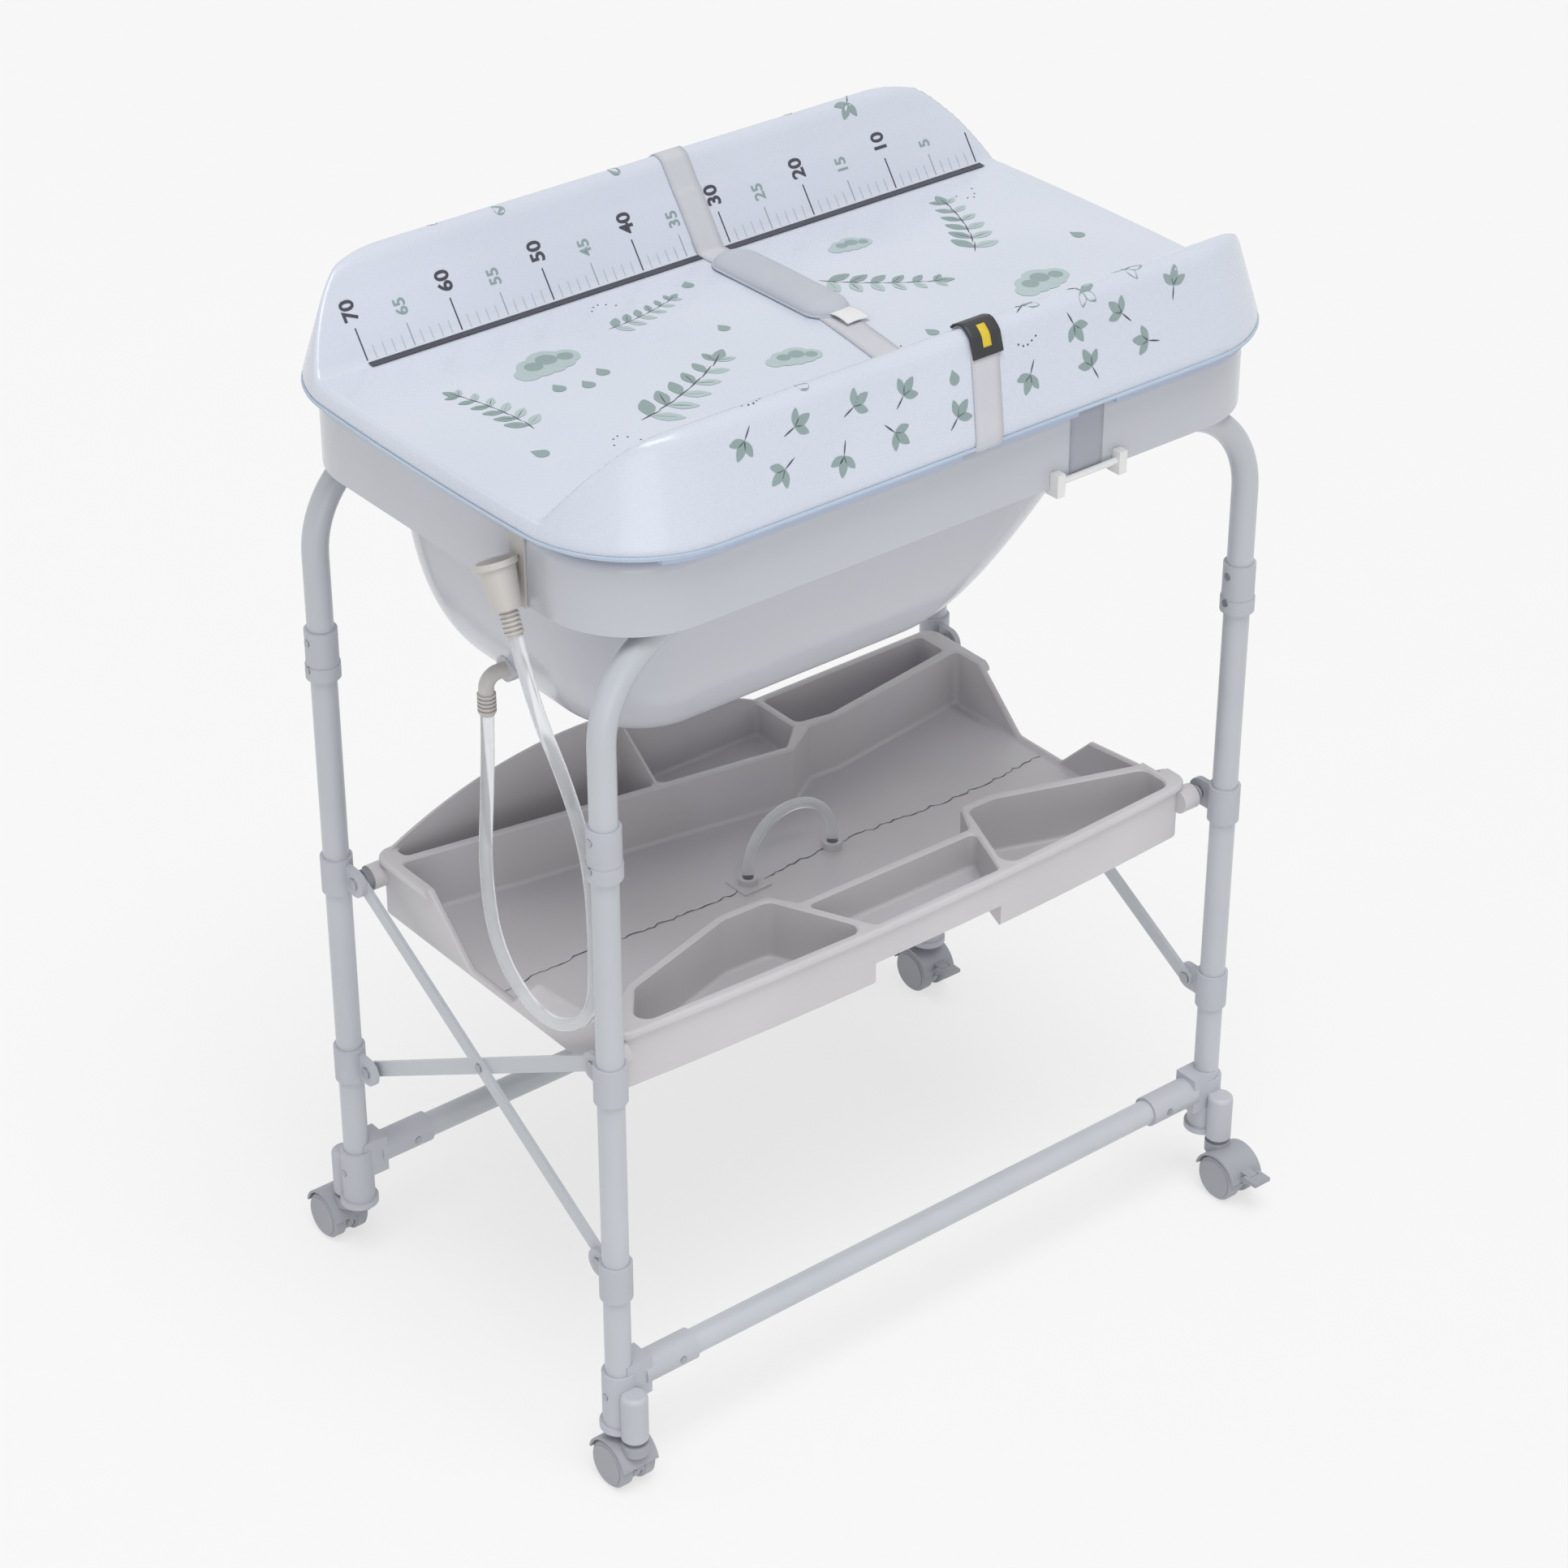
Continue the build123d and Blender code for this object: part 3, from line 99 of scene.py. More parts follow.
def makeLights(setup):
    sun = bpy.data.lights.new("sun", "SUN")
    sun.energy = setup["sun"]["power"]
    sun.angle = math.radians(setup["sun"]["angle"])
    key = bpy.data.objects.new("sun", sun)
    key.rotation_euler = Vector(setup["sun"]["from"]).to_track_quat("Z", "Y").to_euler()
    bpy.context.scene.collection.objects.link(key)
    for name in ("soft", "rim"):
        part = setup[name]
        data = bpy.data.lights.new(name, "AREA")
        data.size = part["size"]
        data.energy = part["power"]
        light = bpy.data.objects.new(name, data)
        light.location = part["place"]
        way = Vector(setup["aim"]) - Vector(part["place"])
        light.rotation_euler = way.to_track_quat("-Z", "Y").to_euler()
        bpy.context.scene.collection.objects.link(light)
    world = bpy.data.worlds.new("studio")
    bpy.context.scene.world = world
    world.use_nodes = True
    tree = world.node_tree
    background = tree.nodes["Background"]
    background.inputs["Color"].default_value = (1, 1, 1, 1)
    gain = calc(tree, "MULTIPLY", seenRays(tree), setup["background"] - setup["world"])
    tree.links.new(calc(tree, "ADD", gain, setup["world"]), background.inputs["Strength"])


def place(name, mesh, materials):  # a finished mesh as an object at the origin
    thing = bpy.data.objects.new(name, mesh)
    bpy.context.scene.collection.objects.link(thing)
    for material in materials if isinstance(materials, (list, tuple)) else [materials]:
        thing.data.materials.append(material)
    return thing


def smoothen(mesh, smooth=True):
    for face in mesh.polygons:
        face.use_smooth = smooth
    return mesh


def meshFrom(bm, name, smooth=True):
    mesh = bpy.data.meshes.new(name)
    bm.to_mesh(mesh)
    bm.free()
    return smoothen(mesh, smooth)


def evaluated(thing):  # the piece's final mesh
    bpy.context.view_layer.update()
    return bpy.data.meshes.new_from_object(thing.evaluated_get(bpy.context.evaluated_depsgraph_get()))


def curveMesh(data):  # a curve or a line of figures as a mesh
    holder = bpy.data.objects.new(data.name, data)
    bpy.context.scene.collection.objects.link(holder)
    mesh = evaluated(holder)
    bpy.data.objects.remove(holder)
    return mesh


makeCamera(cameraSetup)
makeLights(lightSetup)
bpy.context.scene.view_settings.view_transform = "Standard"


# Materials

def startMaterial(name):
    material = bpy.data.materials.new(name)
    material.use_nodes = True
    return material, material.node_tree, material.node_tree.nodes["Principled BSDF"]


def coords(tree, output="Object", scale=(1, 1, 1)):
    source = addNode(tree, "TexCoord")
    mapping = addNode(tree, "Mapping")
    mapping.inputs["Scale"].default_value = scale
    tree.links.new(source.outputs[output], mapping.inputs["Vector"])
    return mapping.outputs["Vector"]


def noise(tree, vector, scale, detail, roughness=0.55):
    node = addNode(tree, "TexNoise")
    node.inputs["Scale"].default_value = scale
    node.inputs["Detail"].default_value = detail
    node.inputs["Roughness"].default_value = roughness
    tree.links.new(vector, node.inputs["Vector"])
    return node.outputs["Fac"]


def remap(tree, value, low, high, to=(0, 1)):
    node = addNode(tree, "MapRange")
    for key, number in zip(("From Min", "From Max", "To Min", "To Max"), (low, high, *to)):
        node.inputs[key].default_value = number
    tree.links.new(value, node.inputs["Value"])
    return node.outputs["Result"]


def blendColour(tree, share, first, second):
    node = addNode(tree, "Mix", data_type="RGBA")
    tree.links.new(share, node.inputs["Factor"])
    for value, socket in ((first, node.inputs[6]), (second, node.inputs[7])):
        if isinstance(value, tuple):
            socket.default_value = value
        else:
            tree.links.new(value, socket)
    return node.outputs[2]


def bump(tree, height, strength, distance, before=None):
    node = addNode(tree, "Bump")
    node.inputs["Strength"].default_value = strength
    node.inputs["Distance"].default_value = distance
    tree.links.new(height, node.inputs["Height"])
    if before is not None:
        tree.links.new(before, node.inputs["Normal"])
    return node.outputs["Normal"]


def mouldedFinish(name, look):
    material, tree, shader = startMaterial(name)
    where = coords(tree)
    broad = noise(tree, where, look.get("cloudScale", 9), 2)
    fine = noise(tree, where, look["grainScale"], 4, 0.6)
    colour = blendColour(tree, remap(tree, broad, 0.3, 0.7), tint(look["colour"]), tint(look["shade"]))
    tree.links.new(colour, shader.inputs["Base Color"])
    tree.links.new(remap(tree, fine, 0.25, 0.75, look["rough"]), shader.inputs["Roughness"])
    tree.links.new(bump(tree, fine, look["grain"], 0.0004), shader.inputs["Normal"])
    shader.inputs["Coat Weight"].default_value = look.get("coat", 0.0)
    shader.inputs["Coat Roughness"].default_value = look.get("coatRough", 0.1)
    shader.inputs["Specular IOR Level"].default_value = look.get("specular", 0.5)
    shader.inputs["Metallic"].default_value = look.get("metal", 0.0)
    return material


def clearFinish(name, look):
    material, tree, shader = startMaterial(name)
    where = coords(tree)
    facing = addNode(tree, "LayerWeight")
    facing.inputs["Blend"].default_value = 0.35
    # the colour turns to the edge colour where the surface is seen at a slant: a painted highlight along the
    # clear part's edges
    colour = blendColour(tree, facing.outputs["Facing"], tint(look["colour"]), tint(look["edge"]))
    tree.links.new(colour, shader.inputs["Base Color"])
    cloud = noise(tree, where, 60, 2)
    tree.links.new(remap(tree, cloud, 0.3, 0.7, look["rough"]), shader.inputs["Roughness"])
    tree.links.new(bump(tree, cloud, 0.15, 0.0006), shader.inputs["Normal"])
    shader.inputs["Transmission Weight"].default_value = look["clear"]
    shader.inputs["IOR"].default_value = look["ior"]
    return material


finishes = {
    "framePaint": {"colour": "#c1c5cb", "shade": "#bbc0c6", "grainScale": 900, "grain": 0.12,
                   "rough": (0.3, 0.42), "coat": 0.25, "coatRough": 0.2},
    "fittingPlastic": {"colour": "#bdbfc7", "shade": "#b7b9c1", "grainScale": 1400, "grain": 0.2,
                       "rough": (0.38, 0.5)},
    "zinc": {"colour": "#b9bcc0", "shade": "#9fa3a8", "grainScale": 1600, "grain": 0.3,
             "rough": (0.25, 0.45), "metal": 1.0},
    "casterPlastic": {"colour": "#a5a7ae", "shade": "#9c9ea6", "grainScale": 1300, "grain": 0.2,
                      "rough": (0.4, 0.52)},
    "bushRubber": {"colour": "#8c8e94", "shade": "#7e8087", "grainScale": 1200, "grain": 0.3,
                   "rough": (0.55, 0.7)},
    "tubPlastic": {"colour": "#c6c8d0", "shade": "#c2c4cc", "grainScale": 500, "grain": 0.06,
                   "rough": (0.2, 0.28), "coat": 0.3, "coatRough": 0.12, "cloudScale": 4},
    "trayPlastic": {"colour": "#d2d0d3", "shade": "#cbc8ca", "grainScale": 1100, "grain": 0.15,
                    "rough": (0.34, 0.46), "cloudScale": 5},
    "cupPlastic": {"colour": "#c9c6c2", "shade": "#c1bdb8", "grainScale": 1200, "grain": 0.15,
                   "rough": (0.35, 0.45)},
    "hangerPlastic": {"colour": "#bdbfc7", "shade": "#b7b9c1", "grainScale": 1400, "grain": 0.2,
                      "rough": (0.38, 0.5)},
    "baseSheet": {"colour": "#b9c6dd", "shade": "#b1bed6", "grainScale": 700, "grain": 0.25,
                  "rough": (0.45, 0.6)},
    "hookPlastic": {"colour": "#e9e9e8", "shade": "#e2e2e1", "grainScale": 1300, "grain": 0.15,
                    "rough": (0.35, 0.45)},
    "loopBlack": {"colour": "#35363a", "shade": "#2b2c30", "grainScale": 1200, "grain": 0.3,
                  "rough": (0.4, 0.55)},
    "loopYellow": {"colour": "#e3c93f", "shade": "#d9bd35", "grainScale": 1200, "grain": 0.2,
                   "rough": (0.45, 0.6)},
    "floor": {"colour": "#f6f6f6", "shade": "#f5f5f5", "grainScale": 20, "grain": 0.0, "rough": (0.8, 0.9),
              "specular": 0.1},
}
for name, colour, shade in (("ink", "#42424f", "#3c3b48"), ("sage", "#90a3a4", "#8a9d9d"),
                            ("paleSage", "#b4c4c6", "#aebfc0")):
    finishes[name] = {"colour": colour, "shade": shade, "grainScale": 900, "grain": 0.05, "rough": (0.4, 0.5)}
# edge is a painted highlight: the colour the clear parts take at edges seen at a slant
clears = {
    "clearHandle": {"colour": "#f4f6f8", "edge": "#ffffff", "rough": (0.03, 0.08), "clear": 0.78,
                    "ior": 1.25},
    "clearHose": {"colour": "#f1f3f6", "edge": "#ffffff", "rough": (0.08, 0.16), "clear": 0.72,
                  "ior": 1.2},
}
finish = {name: mouldedFinish(name, look) for name, look in finishes.items()}
finish.update({name: clearFinish(name, look) for name, look in clears.items()})
print("materials made")


def liftFloor(tree, setup):  # the floor is paler where it is seen, with its shadow kept
    glow = addNode(tree, "Emission")
    glow.inputs["Color"].default_value = tint(setup["glow"])
    mix = addNode(tree, "MixShader")
    tree.links.new(calc(tree, "MULTIPLY", seenRays(tree), setup["lift"]), mix.inputs[0])
    tree.links.new(tree.nodes["Principled BSDF"].outputs[0], mix.inputs[1])
    tree.links.new(glow.outputs[0], mix.inputs[2])
    tree.links.new(mix.outputs[0], tree.nodes["Material Output"].inputs["Surface"])


floorBm = bmesh.new()
bmesh.ops.create_grid(floorBm, x_segments=2, y_segments=2, size=floorSetup["size"] / 2)
liftFloor(finish["floor"].node_tree, floorSetup)
place("floor", meshFrom(floorBm, "floor"), finish["floor"])


# Frame, fittings and plastics keep their solids and get a finish each

def atCorners(*kinds):  # the nodes of these kinds at all four corners
    return [kind + "_" + corner for kind in kinds for corner in ("fl", "fr", "bl", "br")]


wears = {
    "framePaint": ["front_arch", "rear_arch", "front_bottom_tube", "rear_bottom_tube",
                   "strut_outer_left", "strut_outer_right", "strut_inner_left", "strut_inner_right",
                   *atCorners("leg")],
    "fittingPlastic": atCorners("sleeve", "mid_collar", "low_collar", "corner_fitting"),
    "zinc": ["pivot_bolts", "strut_rivets", "frame_screws"],
    "casterPlastic": [*atCorners("caster_hood", "caster_wheels"), "caster_brake_fr", "caster_brake_br"],
    "bushRubber": ["tray_bushes"],
    "tubPlastic": ["tub"],
    "trayPlastic": ["tray"],
    "cupPlastic": ["holder_cup", "drain_elbow", "hose_connectors"],
    "clearHandle": ["tray_handle"],
    "hangerPlastic": ["pad_hanger"],
    "baseSheet": ["pad_base"],
    "hookPlastic": ["strap_hooks"],
    "loopBlack": ["belt_loop", "pad_belt", "belt_cover"],
}


def dress(node, material):
    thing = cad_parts[node]
    if not thing.material_slots:
        thing.data.materials.append(material)
    for slot in thing.material_slots:
        slot.material = material


for name, nodes in wears.items():
    for node in nodes:
        dress(node, finish[name])
print("solids dressed")


# Drain hose

hoseSetup = {
    "route": [(-337, 0, 709), (-341, -3, 650), (-360, -18, 560), (-366, -45, 486), (-364, -112, 447.6),
              (-360, -179, 486), (-359, -184, 570), (-362, -182, 660), (-378, -172, 742), (-398, -161, 812),
              (-397.3, -136.8, 869.1)],
    "diameter": 12.5,
}


def makeHose(setup):
    curve = bpy.data.curves.new("drain_hose", "CURVE")
    curve.dimensions = "3D"
    spline = curve.splines.new("NURBS")
    spline.points.add(len(setup["route"]) - 1)
    for point, spot in zip(spline.points, setup["route"]):
        point.co = (*[v * mm for v in spot], 1)
    spline.order_u = 3
    spline.use_endpoint_u = True
    spline.resolution_u = 16
    curve.bevel_depth = setup["diameter"] / 2 * mm
    curve.bevel_resolution = 5
    curve.use_fill_caps = True
    hose = bpy.data.objects.new("drain_hose", curve)
    bpy.context.scene.collection.objects.link(hose)
    curve.materials.append(finish["clearHose"])
    return hose


def routeLength(thing):  # in metres, along the line that a round curve follows
    bare = thing.data.copy()
    bare.bevel_depth = 0
    holder = bpy.data.objects.new("bareRoute", bare)
    spots = [v.co.copy() for v in bpy.data.meshes.new_from_object(holder).vertices]
    bpy.data.objects.remove(holder)
    return sum((b - a).length for a, b in zip(spots, spots[1:]))


hose = makeHose(hoseSetup)
hoseLength = routeLength(hose)
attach(hose, "tub")
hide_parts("hose")
print("hose made,", round(hoseLength, 3), "m")


# Changing pad

padSetup = {
    "halfX": 387, "halfY": 262, "bow": 10, "corner": 118,
    "bottom": 963.5, "flat": 985.5, "crown": 2.5,
    "wall": [(0, 974.5), (25, 1056.5), (34, 1065.5), (60, 1068.5)],  # height by distance from the outline
    "slope": [(0, 985.5), (165, 985.5), (219, 1061), (228, 1066), (262, 1069)],  # height by distance across
    "slopeFoot": {"y": 165, "rise": 1.4, "width": 4, "until": 200},
    "flatHalf": (380, 150),
    "soften": 9,
    "columns": 104, "rows": 96,
    "across": [(0, 0), (0.24, 150), (0.4, 184), (0.6, 226), (1, 262)],
    "along": [(0, 0), (0.5, 1), (0.66, 2), (1, 3)],  # 0 is the middle, 3 the end, 1 and 2 the stops inside it
    "stops": (80, 40),
    "side": [(971, 0), (967.5, 1.2), (965, 0), (963.9, 1)],  # height and inset of the steps down the side
    "marks": {"foot": 164, "ridge": 229, "wall": 238},  # places across it
    "piping": {"height": 967.5, "radius": 1.7, "out": 0.4, "straight": 12, "round": 10},
}


def lookUp(table, value):  # a value from a table of pairs, straight between them
    for (a, low), (b, high) in zip(table, table[1:]):
        if value <= b:
            return low + (high - low) * (value - a) / (b - a)
    return table[-1][1]


def endX(y):  # half the pad's length at a place across it
    pad = padSetup
    side = pad["halfY"] - pad["corner"]
    bowed = pad["halfX"] + pad["bow"] * (1 - (min(abs(y), side) / pad["halfY"]) ** 2)
    if abs(y) <= side:
        return bowed
    return bowed - pad["corner"] + math.sqrt(max(0, pad["corner"] ** 2 - (abs(y) - side) ** 2))


def insideBy(x, y):  # distance from the pad's outline
    pad = padSetup
    side = pad["halfY"] - pad["corner"]
    turn = endX(side) - pad["corner"]
    if abs(y) > side and abs(x) > turn:
        return pad["corner"] - math.hypot(abs(x) - turn, abs(y) - side)
    return min(pad["halfY"] - abs(y), endX(y) - abs(x))


def softLow(first, second, width):  # the lower of two heights with the corner between them rounded
    share = max(0, min(1, 0.5 + 0.5 * (second - first) / width))
    return second * (1 - share) + first * share - width * share * (1 - share)


def padHeight(x, y):
    pad = padSetup
    wall = lookUp(pad["wall"], max(0, insideBy(x, y)))
    slope = lookUp(pad["slope"], abs(y))
    foot = pad["slopeFoot"]
    if abs(y) < foot["until"]:
        slope = -softLow(-slope, -(pad["flat"] + (abs(y) - foot["y"]) * foot["rise"]), foot["width"])
    height = softLow(wall, slope, pad["soften"])
    halfX, halfY = pad["flatHalf"]
    if abs(y) < halfY:
        height += pad["crown"] * (1 - (y / halfY) ** 2) * max(0, 1 - (x / halfX) ** 4)
    return height


def pullDown(bm, rim, steps, centre=(0, 0)):  # walls down from a rim by heights and insets, then a floor
    for height, inset in steps:
        made = bmesh.ops.extrude_edge_only(bm, edges=rim)["geom"]
        for vert in [g for g in made if isinstance(g, bmesh.types.BMVert)]:
            away = Vector((vert.co.x - centre[0], vert.co.y - centre[1], 0)).normalized()
            vert.co = Vector((vert.co.x - inset * away.x, vert.co.y - inset * away.y, height))
        rim = [g for g in made if isinstance(g, bmesh.types.BMEdge) and g.is_boundary]
    bmesh.ops.holes_fill(bm, edges=rim, sides=0)
    bmesh.ops.recalc_face_normals(bm, faces=bm.faces)
    bmesh.ops.scale(bm, vec=(mm, mm, mm), verts=bm.verts)


def makePad():
    pad = padSetup
    bm = bmesh.new()
    bmesh.ops.create_grid(bm, x_segments=pad["columns"], y_segments=pad["rows"], size=1)
    for vert in bm.verts:
        y = math.copysign(lookUp(pad["across"], abs(vert.co.y)), vert.co.y)
        end = endX(y)
        stops = [0, *[end - stop for stop in pad["stops"]], end]
        spot = lookUp(pad["along"], abs(vert.co.x))
        x = math.copysign(lookUp(list(zip(range(4), stops)), spot), vert.co.x)
        vert.co = Vector((x, y, padHeight(x, y)))
    pullDown(bm, [e for e in bm.edges if e.is_boundary], pad["side"])
    return meshFrom(bm, "pad_vinyl")


def vinylFinish():
    look = {"colour": "#d3d9e5", "shade": "#ced5e1", "rough": (0.22, 0.34), "coat": 0.35}
    material, tree, shader = startMaterial("padVinyl")
    where = coords(tree)
    broad = noise(tree, where, 5, 2)
    folds = noise(tree, coords(tree, scale=(9, 14, 9)), 1.4, 3, 0.5)
    leather = noise(tree, where, 420, 4, 0.6)
    colour = blendColour(tree, remap(tree, broad, 0.3, 0.7), tint(look["colour"]), tint(look["shade"]))
    tree.links.new(colour, shader.inputs["Base Color"])
    tree.links.new(remap(tree, leather, 0.3, 0.7, look["rough"]), shader.inputs["Roughness"])
    soft = bump(tree, folds, 0.25, 0.003)
    tree.links.new(bump(tree, leather, 0.03, 0.0002, soft), shader.inputs["Normal"])
    shader.inputs["Coat Weight"].default_value = look["coat"]
    shader.inputs["Coat Roughness"].default_value = 0.15
    return material


pad = place("pad_shell", makePad(), vinylFinish())
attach(pad, "pad")
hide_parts("pad_cover")
print("pad made")


def padRun():  # places across the pad's middle: the run along its surface, y, z
    half = padSetup["halfY"]
    steps = [(y, padHeight(0, y)) for y in range(half + 1)] + [(half, padSetup["bottom"])]
    table = [(0, *steps[0])]
    for before, after in zip(steps, steps[1:]):
        table.append((table[-1][0] + math.dist(before, after), *after))
    return table


runTable = padRun()
yByRun = [(run, y) for run, y, z in runTable]
zByRun = [(run, z) for run, y, z in runTable]
footRun, ridgeRun, wallRun = (next(run for run, y, z in runTable if y >= padSetup["marks"][mark])
                              for mark in ("foot", "ridge", "wall"))
bottomRun = runTable[-1][0]


def onPad(x, run, lift):  # a place on the pad by its x and its run across it, in millimetres
    y = math.copysign(lookUp(yByRun, abs(run)), run)
    if abs(run) > runTable[-2][0]:
        return Vector((x, y + math.copysign(lift, run), lookUp(zByRun, abs(run))))
    step = 0.5
    slopeX = (padHeight(x + step, y) - padHeight(x - step, y)) / (2 * step)
    slopeY = (padHeight(x, y + step) - padHeight(x, y - step)) / (2 * step)
    return Vector((x, y, padHeight(x, y))) + Vector((-slopeX, -slopeY, 1)).normalized() * lift


def layOnPad(bm, lift):  # a flat drawing, x and run, becomes a print on the pad
    for vert in bm.verts:
        vert.co = onPad(vert.co.x, vert.co.y, lift + vert.co.z) * mm
    bmesh.ops.recalc_face_normals(bm, faces=bm.faces)
    for face in bm.faces:
        if face.normal.dot(face.calc_center_median() - core) < 0:
            face.normal_flip()


# Ruler on the back bolster

rulerSetup = {
    "zero": 366, "count": 70, "bar": (-8, 0.5), "barOver": (3, 1), "barLift": 0.9, "barStep": 12,
    "short": (3, 15, 0.55), "middle": (3, 24, 0.8), "long": (3, 33, 1.3),  # start, end and width of the marks
    "bigText": (20, 39, 0.55), "smallText": (16.5, 31, 0.3),  # size, start and boldness
    "lift": 0.3,
}


def flatText(words, size, bold):  # figures as a flat mesh
    data = bpy.data.curves.new("figures", "FONT")
    data.body = words
    data.size = size
    data.offset = bold
    data.resolution_u = 3
    return curveMesh(data)


def addText(bm, words, x, run, setup, colour):  # figures that read up the slope
    size, start, bold = setup
    before = set(bm.verts)
    bm.from_mesh(flatText(words, size, bold))
    fresh = [v for v in bm.verts if v not in before]
    middle = (min(v.co.y for v in fresh) + max(v.co.y for v in fresh)) / 2
    for vert in fresh:
        vert.co = Vector((x - vert.co.y + middle, run + vert.co.x, 0))
        for face in vert.link_faces:
            face.material_index = colour


def addBar(bm, x0, x1, run0, run1, colour, lift=0):
    columns = max(1, int(abs(x1 - x0) / rulerSetup["barStep"]))
    for vert in bmesh.ops.create_grid(bm, x_segments=columns, y_segments=2, size=1)["verts"]:
        along, up = (vert.co.x + 1) / 2, (vert.co.y + 1) / 2
        vert.co = Vector((x0 + (x1 - x0) * along, run0 + (run1 - run0) * up, lift))
        for face in vert.link_faces:
            face.material_index = colour


def makeRuler():
    ruler = rulerSetup
    bm = bmesh.new()
    zero, foot = ruler["zero"], footRun
    first, last = zero + ruler["barOver"][0], zero - ruler["count"] * 10 - ruler["barOver"][1]
    addBar(bm, first, last, foot + ruler["bar"][0], foot + ruler["bar"][1], 0, ruler["barLift"])
    for mark in range(ruler["count"] + 1):
        x = zero - mark * 10
        kind = "long" if mark % 10 == 0 else "middle" if mark % 5 == 0 else "short"
        start, end, width = ruler[kind]
        colour = {"long": 0, "middle": 1, "short": 2}[kind]
        addBar(bm, x - width / 2, x + width / 2, foot + start, foot + end, colour)
        if mark and mark % 5 == 0:
            look = ruler["bigText"] if mark % 10 == 0 else ruler["smallText"]
            addText(bm, str(mark), x, foot + look[1], look, colour)
    layOnPad(bm, ruler["lift"])
    return meshFrom(bm, "pad_ruler", False)


ruler = place("pad_ruler", makeRuler(), [finish["ink"], finish["sage"], finish["paleSage"]])
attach(ruler, "pad")
print("ruler made")


# Printed leaves, clouds and drops on the pad

printSetup = {
    "lift": 0.3,
    "clouds": [(-215, 62, 62, 8), (-40, -62, 46, -14), (235, -78, 58, 10), (150, 92, 40, -6)],
    "branches": [(-150, -52, 118, 24), (118, 10, 96, -38), (262, 62, 104, 64), (-300, 20, 84, 100),
                 (-88, 92, 74, 12)],
    "drops": [(-236, 18, 13, 0), (-212, 8, 13, 0), (-188, 20, 13, 0), (214, -122, 12, 0),
              (238, -130, 12, 0), (262, -120, 12, 0), (-318, -70, 14, 30), (-20, 118, 12, -20),
              (330, -20, 13, 15), (88, -96, 12, 10), (-52, 24, 12, 0)],
    "dots": [(-262, -96, 5, 12), (30, -104, 6, 10), (300, 118, 5, -12), (-120, 128, 5, 8)],
    "dot": 0.9, "dotStep": 6, "seed": 7,
    "puffs": [(-0.42, -0.02, 0.2), (-0.2, 0.1, 0.25), (0.08, 0.14, 0.29), (0.34, 0.03, 0.22),
              (0.0, -0.06, 0.22), (-0.2, -0.08, 0.17), (0.2, -0.08, 0.18)],  # a cloud's discs by its size
    "rows": {"from": -238, "to": 250, "shifts": {"high": 0, "low": 34, "ridge": 20, "flat": 34},
             "step": (50, 74), "stray": 7, "ridgeGap": 0.55, "ridgeStep": 62,
             "beltFrom": -3, "beltTo": 62, "beltStep": 24, "sprigs": 0.62, "drops": 0.85,
             "sprigSize": 25, "dropSize": 11, "dropTurn": 40, "dots": 5, "dotStep": 5},
}


def stamp(bm, made, x, run, colour, turn=0.0, lift=0.0):  # turns, moves and colours a flat form
    bmesh.ops.rotate(bm, cent=(0, 0, 0), matrix=Matrix.Rotation(turn, 3, "Z"), verts=made)
    bmesh.ops.translate(bm, vec=(x, run, lift), verts=made)
    for face in {f for v in made for f in v.link_faces}:
        face.material_index = colour


def addDisc(bm, x, run, radius, colour, lift=0.0):
    made = bmesh.ops.create_circle(bm, cap_ends=True, segments=20, radius=radius)["verts"]
    stamp(bm, made, x, run, colour, lift=lift)


def addLeaf(bm, x, run, length, turn, colour, lift, plump):  # a pointed oval
    made = bmesh.ops.create_circle(bm, cap_ends=True, segments=16, radius=length / 2)["verts"]
    for vert in made:
        share = vert.co.x / (length / 2)
        vert.co.y *= plump * (1 - 0.45 * abs(share) ** 1.5)
        vert.co.x += length / 2
    stamp(bm, made, x, run, colour, turn, lift)


def addDrop(bm, x, run, size, turn):
    made = bmesh.ops.create_circle(bm, cap_ends=True, segments=18, radius=size / 2)["verts"]
    for vert in made:
        if vert.co.y > 0:
            vert.co.x *= 1 - 0.9 * (vert.co.y / (size / 2)) ** 1.3
            vert.co.y *= 1.5
    stamp(bm, made, x, run, 0, math.radians(turn))


def addSprig(bm, x, run, size, turn):  # three leaves on a short stem
    turn = math.radians(turn)
    for lean, long in ((-0.95, 0.62), (0, 0.72), (0.95, 0.62)):
        addLeaf(bm, x, run, size * long, turn + lean, 0, 0.0, 0.5)
    addLeaf(bm, x, run, size * 0.55, turn + math.pi, 1, 0.03, 0.1)


def addBranch(bm, x, run, size, turn):  # a bent stem with leaves in pairs
    turn = math.radians(turn)
    cos, sin = math.cos(turn), math.sin(turn)
    count = 6
    for n in range(count):
        share = n / (count - 1)
        bend = turn + 0.5 * (share - 0.5)
        along, aside = (share - 0.5) * size, 0.16 * size * (share - 0.5) ** 2
        leafX, leafRun = x + along * cos - aside * sin, run + along * sin + aside * cos
        long = size * (0.26 - 0.1 * share)
        for side in (-1, 1):
            lean = bend + side * 0.95
            addLeaf(bm, leafX, leafRun, long, lean, 0 if side > 0 else 2, 0.0, 0.5)
            addLeaf(bm, leafX, leafRun, long * 0.8, lean, n % 2, 0.04, 0.05)
        back = 0.1 * size
        addLeaf(bm, leafX - back * math.cos(bend), leafRun - back * math.sin(bend), size * 0.22, bend,
                1, 0.05, 0.06)
    addLeaf(bm, leafX, leafRun, size * 0.2, bend, 0, 0.02, 0.5)


